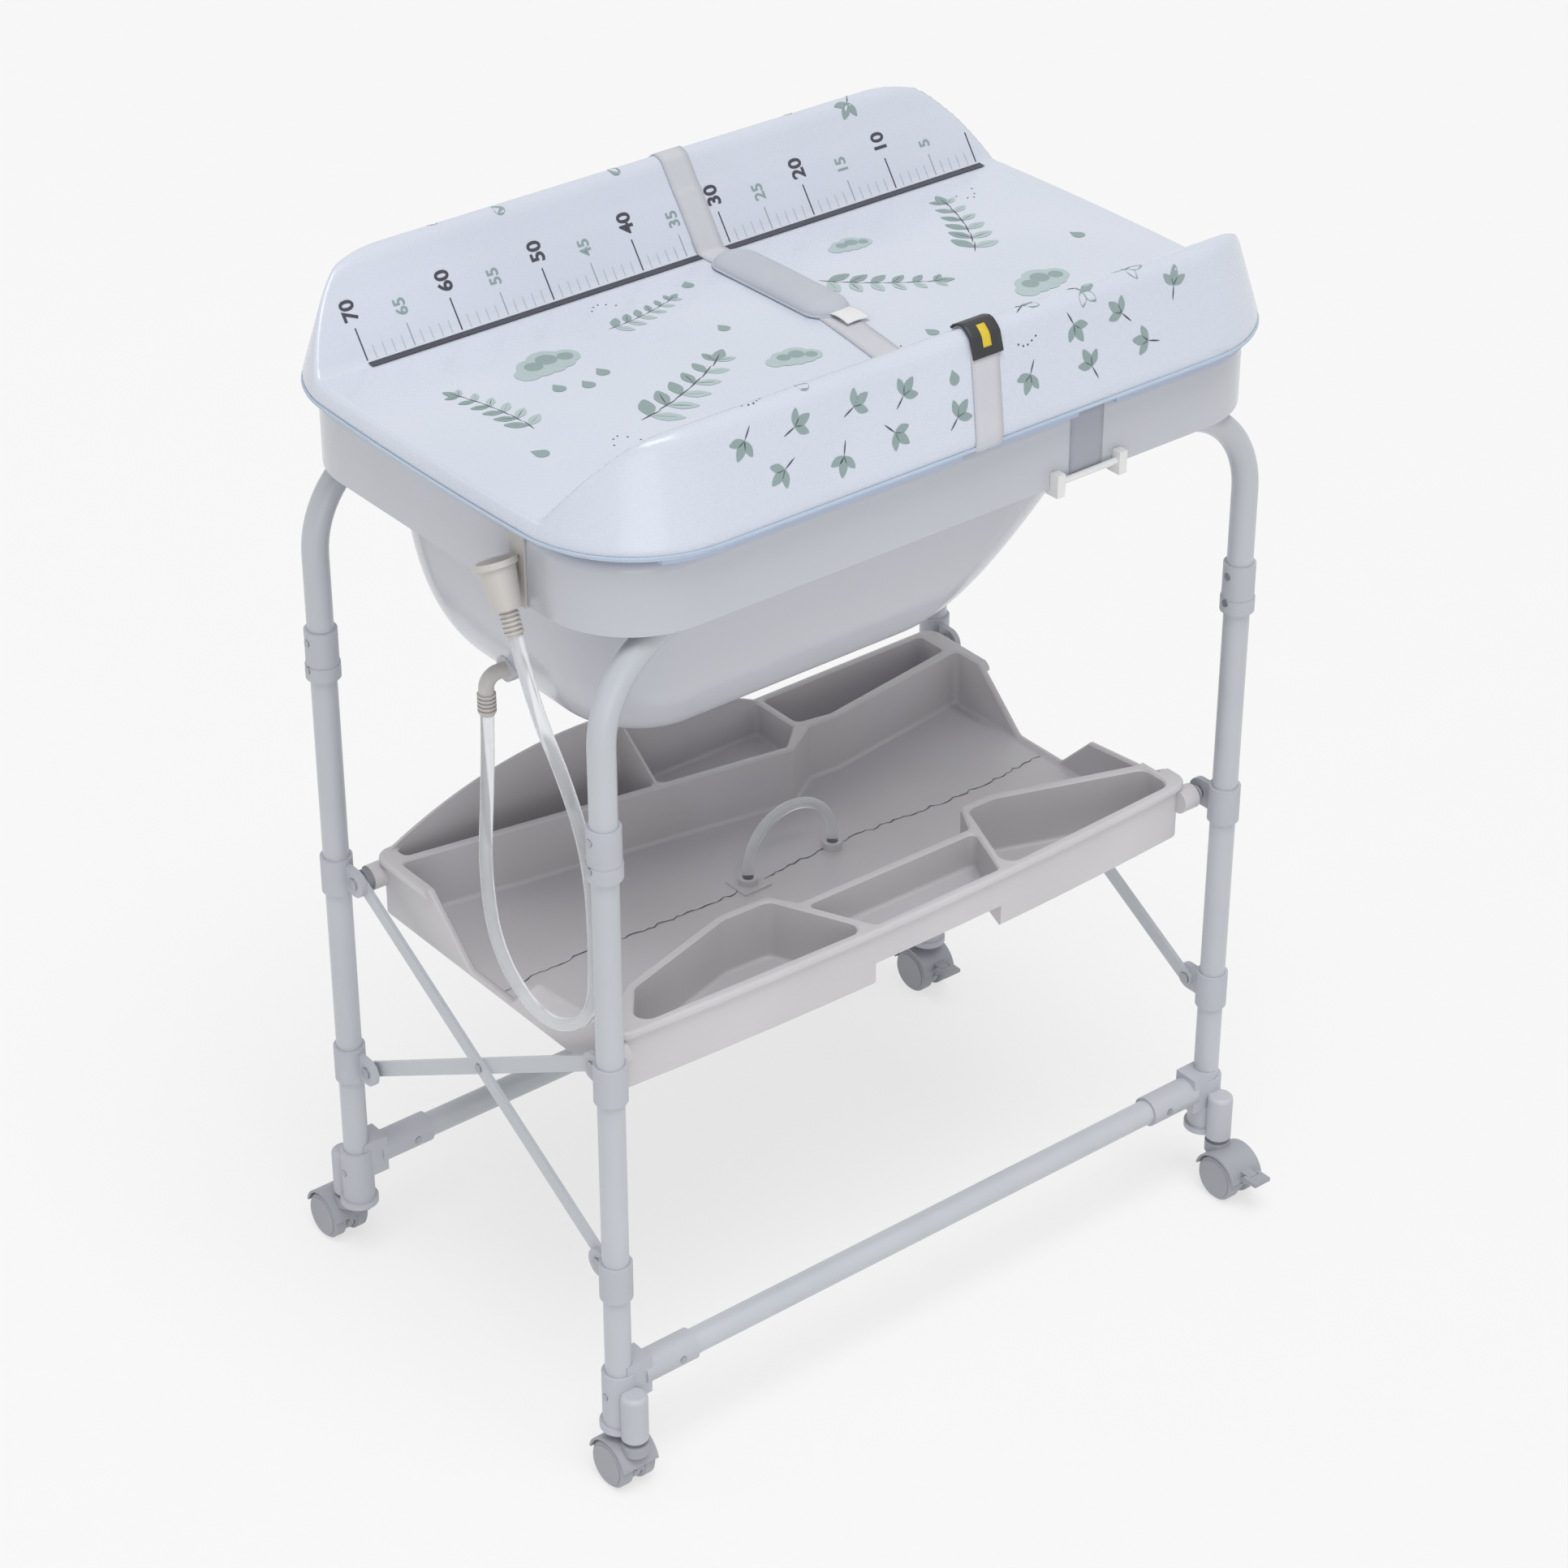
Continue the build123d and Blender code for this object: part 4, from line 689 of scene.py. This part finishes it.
def addCloud(bm, x, run, size, turn):  # pale discs with three darker ones on them
    turn = math.radians(turn)
    cos, sin = math.cos(turn), math.sin(turn)
    puffs = printSetup["puffs"]
    discs = [(puff, 1, 2, 0.01 * n) for n, puff in enumerate(puffs)]
    discs += [(puff, 0.55, 0, 0.1) for puff in puffs[1:4]]
    for (puffX, puffRun, radius), share, colour, lift in discs:
        spotX = x + size * (puffX * cos - puffRun * sin)
        spotRun = run + size * (puffX * sin + puffRun * cos)
        addDisc(bm, spotX, spotRun, size * radius * share, colour, lift)


def addRow(bm, chance, side, run, row):  # small prints along one bolster
    look = printSetup["rows"]
    x = look["from"] + look["shifts"][row]
    while x < look["to"]:
        kind = chance.random()
        spot = run + chance.uniform(-look["stray"], look["stray"])
        if row == "ridge" and chance.random() < look["ridgeGap"]:
            x += look["ridgeStep"]
            continue
        if look["beltFrom"] < x < look["beltTo"] and row != "flat":
            x += look["beltStep"]
            continue
        if kind < look["sprigs"]:
            addSprig(bm, x, side * spot, look["sprigSize"], chance.uniform(0, 360))
        elif kind < look["drops"]:
            turn = chance.uniform(-look["dropTurn"], look["dropTurn"])
            addDrop(bm, x, side * spot, look["dropSize"], turn)
        else:
            for n in range(look["dots"]):
                dotX = x + look["dotStep"] * (n - (look["dots"] - 1) / 2)
                addDisc(bm, dotX, side * (spot + 3 * math.sin(n)), printSetup["dot"], 1)
        x += chance.uniform(*look["step"])


def makePrints():
    prints = printSetup
    chance = random.Random(prints["seed"])
    bm = bmesh.new()
    for cloud in prints["clouds"]:
        addCloud(bm, *cloud)
    for branch in prints["branches"]:
        addBranch(bm, *branch)
    for drop in prints["drops"]:
        addDrop(bm, *drop)
    for x, run, count, rise in prints["dots"]:
        for n in range(count):
            addDisc(bm, x + prints["dotStep"] * n, run + rise * math.sin(n * 0.9), prints["dot"], 1)
    # the runs of the rows on each bolster
    rows = {"high": wallRun + 18, "low": wallRun + 50, "ridge": ridgeRun - 3, "flat": footRun + 66}
    for side in (-1, 1):
        for row, run in rows.items():
            if row != "flat" or side < 0:
                addRow(bm, chance, side, run, row)
    layOnPad(bm, prints["lift"])
    return meshFrom(bm, "pad_prints", False)


prints = place("pad_prints", makePrints(), [finish["sage"], finish["ink"], finish["paleSage"]])
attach(prints, "pad")
print("prints made")


# Cloth and webbing finishes

def clothFinish(name, look):
    material, tree, shader = startMaterial(name)
    across = coords(tree, "UV")
    where = coords(tree)
    weave = []
    for direction in ("X", "Y"):
        wave = addNode(tree, "TexWave", bands_direction=direction)
        wave.inputs["Scale"].default_value = look["threads"]
        wave.inputs["Distortion"].default_value = 0.6
        wave.inputs["Detail"].default_value = 1
        tree.links.new(across if look.get("uv", True) else where, wave.inputs["Vector"])
        weave.append(wave.outputs["Fac"])
    woven = calc(tree, "MULTIPLY", weave[0], weave[1])
    cloud = noise(tree, where, 14, 3)
    speckle = noise(tree, where, 1500, 2)
    base = blendColour(tree, remap(tree, cloud, 0.3, 0.7), tint(look["colour"]), tint(look["shade"]))
    threads = remap(tree, woven, 0.0, 1.0, (0.0, 0.25))
    colour = blendColour(tree, threads, base, tint(look["thread"]))
    tree.links.new(colour, shader.inputs["Base Color"])
    tree.links.new(remap(tree, speckle, 0.3, 0.7, look["rough"]), shader.inputs["Roughness"])
    soft = bump(tree, noise(tree, where, look.get("crease", 40), 2), look.get("creasing", 0.2), 0.002)
    tree.links.new(bump(tree, woven, 0.35, 0.0004, soft), shader.inputs["Normal"])
    shader.inputs["Sheen Weight"].default_value = 0.2
    shader.inputs["Specular IOR Level"].default_value = 0.3
    return material


cloths = {
    "beltWeb": {"colour": "#d3d4da", "shade": "#cccdd4", "thread": "#bcbec7", "threads": 420,
                "rough": (0.5, 0.65)},
    "beltSleeve": {"colour": "#c4c8d1", "shade": "#bcc1cb", "thread": "#adb2bd", "threads": 300,
                   "rough": (0.55, 0.7), "uv": False},
    "cushionCloth": {"colour": "#eeeff3", "shade": "#e6e7ec", "thread": "#dcdde4", "threads": 260,
                     "rough": (0.6, 0.8), "uv": False, "crease": 22, "creasing": 0.35},
    "seatCloth": {"colour": "#b3b6c2", "shade": "#aaadba", "thread": "#9b9fad", "threads": 260,
                  "rough": (0.6, 0.8), "uv": False, "crease": 22, "creasing": 0.35},
    "strapWeb": {"colour": "#b0b3bd", "shade": "#a8abb6", "thread": "#9a9daa", "threads": 380,
                 "rough": (0.5, 0.65)},
    "tagCloth": {"colour": "#f0f0f2", "shade": "#e9e9ec", "thread": "#dcdce0", "threads": 500,
                 "rough": (0.6, 0.7)},
    "pipingCloth": {"colour": "#bccadb", "shade": "#b4c3d5", "thread": "#a6b6ca", "threads": 500,
                    "rough": (0.4, 0.55), "uv": False},
}
starColours = {"coralStar": ("#e79a85", "#e1907b", "#d88872"), "navyStar": ("#214a8c", "#1d4280", "#1a3b74"),
               "slateStar": ("#4d4d57", "#45454f", "#3d3d47")}
for name, (colour, shade, thread) in starColours.items():
    cloths[name] = {"colour": colour, "shade": shade, "thread": thread, "threads": 300,
                    "rough": (0.6, 0.75), "uv": False}
finish.update({name: clothFinish(name, look) for name, look in cloths.items()})


# A flat strip, where spotAt gives a place by a share across it and a share along it
def band(name, spotAt, width, thickness, steps, material, across=4):
    bm = bmesh.new()
    surface = bm.loops.layers.uv.new("surface")
    bmesh.ops.create_grid(bm, x_segments=across, y_segments=steps, size=1)
    flat = {v: ((v.co.x + 1) / 2, (v.co.y + 1) / 2) for v in bm.verts}
    middle = [spotAt(0.5, n / steps) for n in range(steps + 1)]
    length = sum((b - a).length for a, b in zip(middle, middle[1:])) * mm
    for face in bm.faces:
        for loop in face.loops:
            u, v = flat[loop.vert]
            loop[surface].uv = (u * width * mm, v * length)
    for vert, (u, v) in flat.items():
        vert.co = spotAt(u, v) * mm
    bm.normal_update()
    if sum(face.normal.dot(face.calc_center_median() - core) for face in bm.faces) < 0:
        bmesh.ops.reverse_faces(bm, faces=bm.faces)
        bm.normal_update()
    bmesh.ops.solidify(bm, geom=bm.faces, thickness=thickness * mm)
    bmesh.ops.recalc_face_normals(bm, faces=bm.faces)
    return place(name, meshFrom(bm, name), material)


# Belt with its padded sleeve, tag and loop

beltSetup = {
    "width": 30, "thickness": 1.5, "lift": 1.9, "backX": 42, "frontX": 21, "lowX": 8,
    "backStart": 138, "frontStart": 10, "bottomGap": 1,
    "sleeve": {"length": 168, "width": 46, "height": 13, "back": 146, "x": 42, "edge": 3,
               "skirts": [(1.6, -0.4), (0.4, 0.6)], "piping": 1.1, "pipingLift": 2.2, "pipingOut": 0.3},
    "loop": {"width": 33, "start": -14, "end": 28, "lift": 3.9, "thickness": 1.8},
    "patch": {"width": 9, "start": 2, "end": 20, "lift": 4.4, "thickness": 0.6},
    "tag": {"width": 26, "length": 30, "thickness": 0.3, "shift": 4, "inside": 7, "lift": 4.2},
}


def makeBelt():
    belt = beltSetup
    end = bottomRun - belt["bottomGap"]
    turns = [(0, belt["backX"]), (footRun - 12, belt["frontX"]), (wallRun, belt["frontX"]),
             (bottomRun, belt["lowX"])]  # the front part's middle by its run

    def back(u, v):
        run = belt["backStart"] + v * (end - belt["backStart"])
        return onPad(belt["backX"] + (u - 0.5) * belt["width"], run, belt["lift"])

    def front(u, v):
        run = belt["frontStart"] + v * (end - belt["frontStart"])
        return onPad(lookUp(turns, run) + (u - 0.5) * belt["width"], -run, belt["lift"])

    def overRidge(part):  # places for a short strip that crosses the front ridge
        def spot(u, v):
            run = ridgeRun + part["start"] + v * (part["end"] - part["start"])
            return onPad(belt["frontX"] + (u - 0.5) * part["width"], -run, part["lift"])
        return spot

    loop, patch = belt["loop"], belt["patch"]
    web = finish["beltWeb"]
    return (band("belt_back", back, belt["width"], belt["thickness"], 110, web),
            band("belt_front", front, belt["width"], belt["thickness"], 130, web),
            band("belt_catch", overRidge(loop), loop["width"], loop["thickness"], 24, finish["loopBlack"], 8),
            band("belt_catch_patch", overRidge(patch), patch["width"], patch["thickness"], 12,
                 finish["loopYellow"]))


def sleeveShape():  # the middle across the pad, the round ends' radius and the straight half length
    sleeve = beltSetup["sleeve"]
    radius = sleeve["width"] / 2
    return sleeve["back"] - sleeve["length"] / 2, radius, sleeve["length"] / 2 - radius


def makeSleeve():  # a padded form over a long round outline, closed below
    sleeve = beltSetup["sleeve"]
    middleY, radius, straight = sleeveShape()
    bm = bmesh.new()
    bmesh.ops.create_grid(bm, x_segments=22, y_segments=60, size=1)
    for vert in bm.verts:
        x = math.copysign(math.sin(abs(vert.co.x) * math.pi / 2), vert.co.x) * radius
        reach = straight + math.sqrt(max(0, radius ** 2 - x ** 2))
        y = reach * math.copysign(1 - (1 - abs(vert.co.y)) ** 1.6, vert.co.y)
        away = math.hypot(x, max(0, abs(y) - straight))
        share = max(0, 1 - (away / radius) ** 2.6)
        puff = 1 + 0.05 * math.sin(y / 17) * share
        height = sleeve["edge"] + (sleeve["height"] - sleeve["edge"]) * share ** 0.55 * puff
        x, y = sleeve["x"] + x, middleY + y
        vert.co = Vector((x, y, padHeight(x, y) + height))
    ground = padHeight(sleeve["x"], middleY)
    rim = [e for e in bm.edges if e.is_boundary]
    centre = sum((v.co for v in bm.verts), Vector()) / len(bm.verts)
    pullDown(bm, rim, [(ground + height, inset) for height, inset in sleeve["skirts"]], centre)
    return place("belt_sleeve", meshFrom(bm, "belt_sleeve"), finish["beltSleeve"])


beltBack, beltFront, catch, patch = makeBelt()
sleeve = makeSleeve()


def piping(name, points, radius, material):  # a thin round line that closes on itself
    data = bpy.data.curves.new(name, "CURVE")
    data.dimensions = "3D"
    spline = data.splines.new("NURBS")
    spline.points.add(len(points) - 1)
    for point, spot in zip(spline.points, points):
        point.co = (*(Vector(spot) * mm), 1)
    spline.use_cyclic_u = True
    spline.order_u = 3
    spline.resolution_u = 4
    data.bevel_depth = radius * mm
    data.bevel_resolution = 2
    mesh = curveMesh(data)
    mesh.materials.clear()
    return place(name, smoothen(mesh), material)


def sleevePiping():
    sleeve = beltSetup["sleeve"]
    middleY, radius, straight = sleeveShape()
    radius += sleeve["pipingOut"]
    count = 40
    points = []
    for n in range(count):
        angle = 2 * math.pi * n / count
        shift = straight if math.sin(angle) >= 0 else -straight
        x, y = sleeve["x"] + radius * math.cos(angle), middleY + shift + radius * math.sin(angle)
        points.append((x, y, padHeight(x, y) + sleeve["pipingLift"]))
    return piping("belt_sleeve_piping", points, sleeve["piping"], finish["beltSleeve"])


def makeTag():
    tag, sleeve = beltSetup["tag"], beltSetup["sleeve"]
    front = sleeve["back"] - sleeve["length"]

    def spot(u, v):
        x = sleeve["x"] + tag["shift"] + (u - 0.5) * tag["width"]
        y = front + tag["inside"] - v * tag["length"]
        curl = 2.2 * math.sin(v * 3.0) + 0.8 * math.sin(u * 4)
        return Vector((x, y, padHeight(x, y) + tag["lift"] + curl))

    return band("belt_tag", spot, tag["width"], tag["thickness"], 14, finish["tagCloth"], 8)


def padPiping():
    pad, look = padSetup, padSetup["piping"]
    side = pad["halfY"] - pad["corner"]
    turn = endX(side) - pad["corner"]
    reach = pad["corner"] + look["out"]
    shares = [n / look["straight"] for n in range(look["straight"])]
    angles = [math.pi / 2 * n / look["round"] for n in range(look["round"])]
    half = [(endX(side * (2 * share - 1)) + look["out"], side * (2 * share - 1)) for share in shares]
    half += [(turn + reach * math.cos(a), side + reach * math.sin(a)) for a in angles]
    half += [(turn * (1 - 2 * share), pad["halfY"] + look["out"]) for share in shares]
    half += [(-turn - reach * math.sin(a), side + reach * math.cos(a)) for a in angles]
    points = [(x, y, look["height"]) for x, y in half + [(-x, -y) for x, y in half]]
    return piping("pad_piping", points, look["radius"], finish["pipingCloth"])


padTrim = padPiping()
sleeveTrim = sleevePiping()
tag = makeTag()
for thing in (beltBack, beltFront, catch, patch, sleeve, sleeveTrim, tag, padTrim):
    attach(thing, "pad")
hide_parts("pad_belt")
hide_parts("belt_loop")
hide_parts("belt_cover")
print("belt made")


# Bath cushion in the tub

cushionSetup = {
    "backRest": {"radii": (136, 122, 40), "place": (150, 0, 852), "tilt": 30, "dip": 0.22, "start": 0.95,
                 "cap": 9},
    "legRest": {"radii": (92, 120, 40), "place": (-72, 0, 794), "tilt": -8, "dip": 0.12, "start": 0.95,
                "cap": 8},
    "seat": {"radii": (70, 98, 24), "place": (26, 0, 776), "tilt": 0, "dip": 0.2},
    "ear": {"radii": (30, 30, 12), "place": (258, 82, 921), "tilt": 30, "square": 2, "piping": 2.2,
            "lining": 23},
    "voxel": 5, "pressure": 4, "frames": 20, "starSize": 8.5, "starLift": 0.5,
    "tag": {"width": 20, "length": 26, "thickness": 0.3, "angle": 128, "inside": 2},
}


def pillowMatrix(look, side=1):
    x, y, z = look["place"]
    return Matrix.Translation((x, y * side, z)) @ Matrix.Rotation(-math.radians(look["tilt"]), 4, "Y")


def pillowMesh(look, side=1):  # an oval with a crown above and below its seam
    square, dip, scale = look.get("square", 2.3), look.get("dip", 0.0), look.get("start", 1.0)
    bm = bmesh.new()
    bmesh.ops.create_uvsphere(bm, u_segments=56, v_segments=28, radius=1)
    for vert in bm.verts:
        x, y, z = vert.co
        across = math.hypot(x, y)
        angle = math.atan2(y, x)
        swell = (abs(math.cos(angle)) ** square + abs(math.sin(angle)) ** square) ** (-1 / square)
        crown = (1 - min(1, across) ** 2.6) ** 0.6 * (1 - dip * math.exp(-(across / 0.35) ** 2))
        vert.co = Vector((x * swell, y * swell, math.copysign(crown, z) if abs(z) > 1e-4 else 0))
    bmesh.ops.scale(bm, vec=[r * scale * mm for r in look["radii"]], verts=bm.verts)
    turn = pillowMatrix(look, side)
    turn.translation = turn.translation * mm
    bmesh.ops.transform(bm, matrix=turn, verts=bm.verts)
    bmesh.ops.recalc_face_normals(bm, faces=bm.faces)
    return bm


def inflate(thing, cap):  # swells a shape as stuffed cloth
    cushion = cushionSetup
    remesh = thing.modifiers.new("remesh", "REMESH")
    remesh.mode = "VOXEL"
    remesh.voxel_size = cushion["voxel"] * mm
    thing.data = evaluated(thing)
    thing.modifiers.clear()
    before = [v.co.copy() for v in thing.data.vertices]
    cloth = thing.modifiers.new("cloth", "CLOTH")
    cloth.settings.use_pressure = True
    cloth.settings.uniform_pressure_force = cushion["pressure"]
    cloth.settings.effector_weights.gravity = 0
    cloth.settings.quality = 5
    for step in range(1, cushion["frames"] + 1):
        bpy.context.scene.frame_set(step)
    thing.data = evaluated(thing)
    thing.modifiers.clear()
    bpy.context.scene.frame_set(1)
    for vert, start in zip(thing.data.vertices, before):
        move = vert.co - start
        if move.length > cap * mm:
            vert.co = start + move.normalized() * cap * mm


def stuffed(name, look):  # a pillow with its filling
    thing = place(name, meshFrom(pillowMesh(look), name), finish["cushionCloth"])
    inflate(thing, look["cap"])
    smoothen(thing.data)
    fine = thing.modifiers.new("fine", "SUBSURF")
    fine.levels = fine.render_levels = 1
    return thing


def shapeTree(thing):  # the piece's surface, to be met by rays
    shape = bmesh.new()
    shape.from_mesh(evaluated(thing))
    tree = BVHTree.FromBMesh(shape)
    shape.free()
    return tree


def seamSpot(tree, look, side, angle):  # the place on the widest line at one angle, and the way out there
    turn = pillowMatrix(look, side)
    centre = turn.translation * mm
    long, wide, high = look["radii"]
    way = (turn.to_3x3() @ Vector((long * math.cos(angle), wide * math.sin(angle), 0))).normalized()
    hit = tree.ray_cast(centre + way * 0.3, -way)[0]
    return hit / mm, way


def pillowSeam(name, thing, look, side=1, radius=1.5):  # piping round the widest line
    tree = shapeTree(thing)
    spots = [seamSpot(tree, look, side, 2 * math.pi * n / 64) for n in range(64)]
    return piping(name, [spot + way * 0.5 for spot, way in spots], radius, finish["cushionCloth"])


def starPrints(name, thing, look, spots):  # small five-point stars on a pillow's upper side
    tree = shapeTree(thing)
    turn = pillowMatrix(look)
    up = (turn.to_3x3() @ Vector((0, 0, 1))).normalized()
    chance = random.Random(len(spots))
    bm = bmesh.new()
    for n, (x, y) in enumerate(spots):
        centre = turn @ Vector((x, y, 0))
        size = cushionSetup["starSize"] * chance.uniform(0.8, 1.1)
        start = chance.uniform(0, 6.28)
        made = bmesh.ops.create_circle(bm, cap_ends=True, segments=10, radius=1)["verts"]
        for k, vert in enumerate(sorted(made, key=lambda v: math.atan2(v.co.y, v.co.x))):
            angle = start + math.pi * 2 * k / 10
            reach = size * (1 if k % 2 == 0 else 0.45)
            vert.co = Vector((reach * math.cos(angle), reach * math.sin(angle), 0))
        bmesh.ops.poke(bm, faces=list({f for v in made for f in v.link_faces}))
        for vert in [v for v in bm.verts if not v.tag]:
            vert.tag = True
            spot = (centre + turn.to_3x3() @ vert.co) * mm
            hit, normal = tree.ray_cast(spot + up * 0.2, -up)[:2]
            if hit is None:
                hit, normal = tree.find_nearest(spot)[:2]
            vert.co = hit + normal * cushionSetup["starLift"] * mm
            for face in vert.link_faces:
                face.material_index = n % 3
    bmesh.ops.recalc_face_normals(bm, faces=bm.faces)
    for face in bm.faces:
        if face.normal.dot(up) < 0:
            face.normal_flip()
    return place(name, meshFrom(bm, name), [finish[star] for star in starColours])


def scatter(radii, count, seed, gap=25, share=0.86):  # spots over an oval that keep their distance
    chance = random.Random(seed)
    spots = []
    for _ in range(4000):
        angle, reach = chance.uniform(0, 6.28), math.sqrt(chance.uniform(0, 1)) * share
        spot = (radii[0] * reach * math.cos(angle), radii[1] * reach * math.sin(angle))
        if all(math.dist(spot, other) > gap for other in spots):
            spots.append(spot)
        if len(spots) == count:
            break
    return spots


def makeEar(name, side):
    look = cushionSetup["ear"]
    ear = place("cushion_ear_" + name, meshFrom(pillowMesh(look, side), "cushion_ear_" + name),
                [finish["cushionCloth"], finish["seatCloth"]])
    turn = pillowMatrix(look, side)
    up = turn.to_3x3() @ Vector((0, 0, 1))
    for face in ear.data.polygons:
        away = face.center - turn.translation * mm
        rise = away.dot(up)
        if rise > 0 and (away - up * rise).length < look["lining"] * mm:
            face.material_index = 1
    return ear, pillowSeam("cushion_ear_piping_" + name, ear, look, side, look["piping"])


def makeCareTag(back):
    tag = cushionSetup["tag"]
    spot, way = seamSpot(shapeTree(back), cushionSetup["backRest"], 1, math.radians(tag["angle"]))
    along = Vector((-way.y, way.x, -0.2)).normalized()

    def tagSpot(u, v):
        out = tag["length"] * v - tag["inside"]
        return spot + along * (u - 0.5) * tag["width"] + way * out + Vector((0, 0, 4 * math.sin(v * 1.6)))

    return band("cushion_tag", tagSpot, tag["width"], tag["thickness"], 10, finish["tagCloth"], 4)


def makeCushion():
    backRest, legRest = cushionSetup["backRest"], cushionSetup["legRest"]
    back, leg = stuffed("cushion_back", backRest), stuffed("cushion_legs", legRest)
    seatMesh = meshFrom(pillowMesh(cushionSetup["seat"]), "cushion_lining")
    seat = place("cushion_lining", seatMesh, finish["seatCloth"])
    frontEar, frontPiping = makeEar("front", -1)
    backEar, backPiping = makeEar("back", 1)
    trims = [pillowSeam("cushion_back_seam", back, backRest),
             pillowSeam("cushion_legs_seam", leg, legRest),
             starPrints("cushion_back_stars", back, backRest, scatter(backRest["radii"], 40, 5)),
             starPrints("cushion_legs_stars", leg, legRest, scatter(legRest["radii"], 26, 8)),
             makeCareTag(back)]
    for thing in (back, leg, seat, frontEar, frontPiping, backEar, backPiping, *trims):
        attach(thing, "tub")
    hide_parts("cushion_back_rest")
    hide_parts("cushion_leg_rest")
    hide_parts("cushion_seat")


strapSetup = {
    "width": 38, "thickness": 1.4, "x": 140, "endY": -48, "overZ": 958.0, "lowZ": 893, "bend": 9,
    "sag": {"depth": 1.2, "pace": 2.2, "until": 0.45},
    "sideStart": (92, 852), "sideInner": 196, "sideOuter": 244,
    "endStart": (237.8, 890), "endInner": 331, "endOuter": 379,
}


def softCorners(points, reach, steps=7):  # a line with its corners rounded
    line = [Vector(points[0])]
    for before, corner, after in zip(points, points[1:], points[2:]):
        before, corner, after = Vector(before), Vector(corner), Vector(after)
        first = corner + (before - corner).normalized() * reach
        last = corner + (after - corner).normalized() * reach
        for n in range(steps + 1):
            share = n / steps
            line.append(first.lerp(corner, share).lerp(corner.lerp(last, share), share))
    line.append(Vector(points[-1]))
    lengths = [0]
    for a, b in zip(line, line[1:]):
        lengths.append(lengths[-1] + (b - a).length)
    return line, lengths


def strap(name, spots, across):  # webbing along a line of spots
    setup = strapSetup
    sag = setup["sag"]
    line, lengths = softCorners(spots, setup["bend"])
    tables = [[(far, spot[axis]) for far, spot in zip(lengths, line)] for axis in range(3)]

    def spot(u, v):
        middle = Vector([lookUp(table, v * lengths[-1]) for table in tables])
        drop = 0
        if v < sag["until"]:
            drop = sag["depth"] * math.sin(math.pi * min(1, v * sag["pace"])) * math.sin(math.pi * u)
        return middle + Vector(across) * (u - 0.5) * setup["width"] - Vector((0, 0, drop))

    made = band(name, spot, setup["width"], setup["thickness"], 60, finish["strapWeb"], 6)
    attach(made, "tub")
    return made


def overRim(part):  # from the cushion over the rim and down its outside, as places outward and upward
    setup = strapSetup
    start, inner, outer = (setup[part + key] for key in ("Start", "Inner", "Outer"))
    return [start, (inner, setup["overZ"]), (outer, setup["overZ"]), (outer, setup["lowZ"])]


def makeStraps():
    sides, end = overRim("side"), overRim("end")
    front = strap("cushion_strap_front", [(strapSetup["x"], -y, z) for y, z in sides], (1, 0, 0))
    strap("cushion_strap_back", [(strapSetup["x"], y, z) for y, z in sides], (1, 0, 0))
    strap("cushion_strap_end", [(x, strapSetup["endY"], z) for x, z in end], (0, 1, 0))
    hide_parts("cushion_straps")


makeCushion()
makeStraps()
print("cushion made")


# Split line along the tray's floor

trayLineSetup = {"height": 409.35, "y": 3, "from": -330, "to": 332, "width": 1.3, "steps": 120,
                 "stray": 2.2, "seed": 4}


def makeTrayLine():
    look = trayLineSetup
    chance = random.Random(look["seed"])
    bm = bmesh.new()
    count, stray = look["steps"], look["stray"]
    bmesh.ops.create_grid(bm, x_segments=count, y_segments=1, size=1)
    heights = [chance.uniform(-stray, stray) + 4 * math.sin(n * 0.11) for n in range(count + 1)]
    widths = [look["width"] * chance.uniform(0.35, 1.2) for n in range(count + 1)]
    for vert in bm.verts:
        n = round((vert.co.x + 1) / 2 * count)
        x = look["from"] + (look["to"] - look["from"]) * n / count
        vert.co = Vector((x, look["y"] + heights[n] + vert.co.y * widths[n] / 2, look["height"])) * mm
    return meshFrom(bm, "tray_line", False)


trayLine = place("tray_line", makeTrayLine(), finish["ink"])
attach(trayLine, "frame")
print("tray line made")
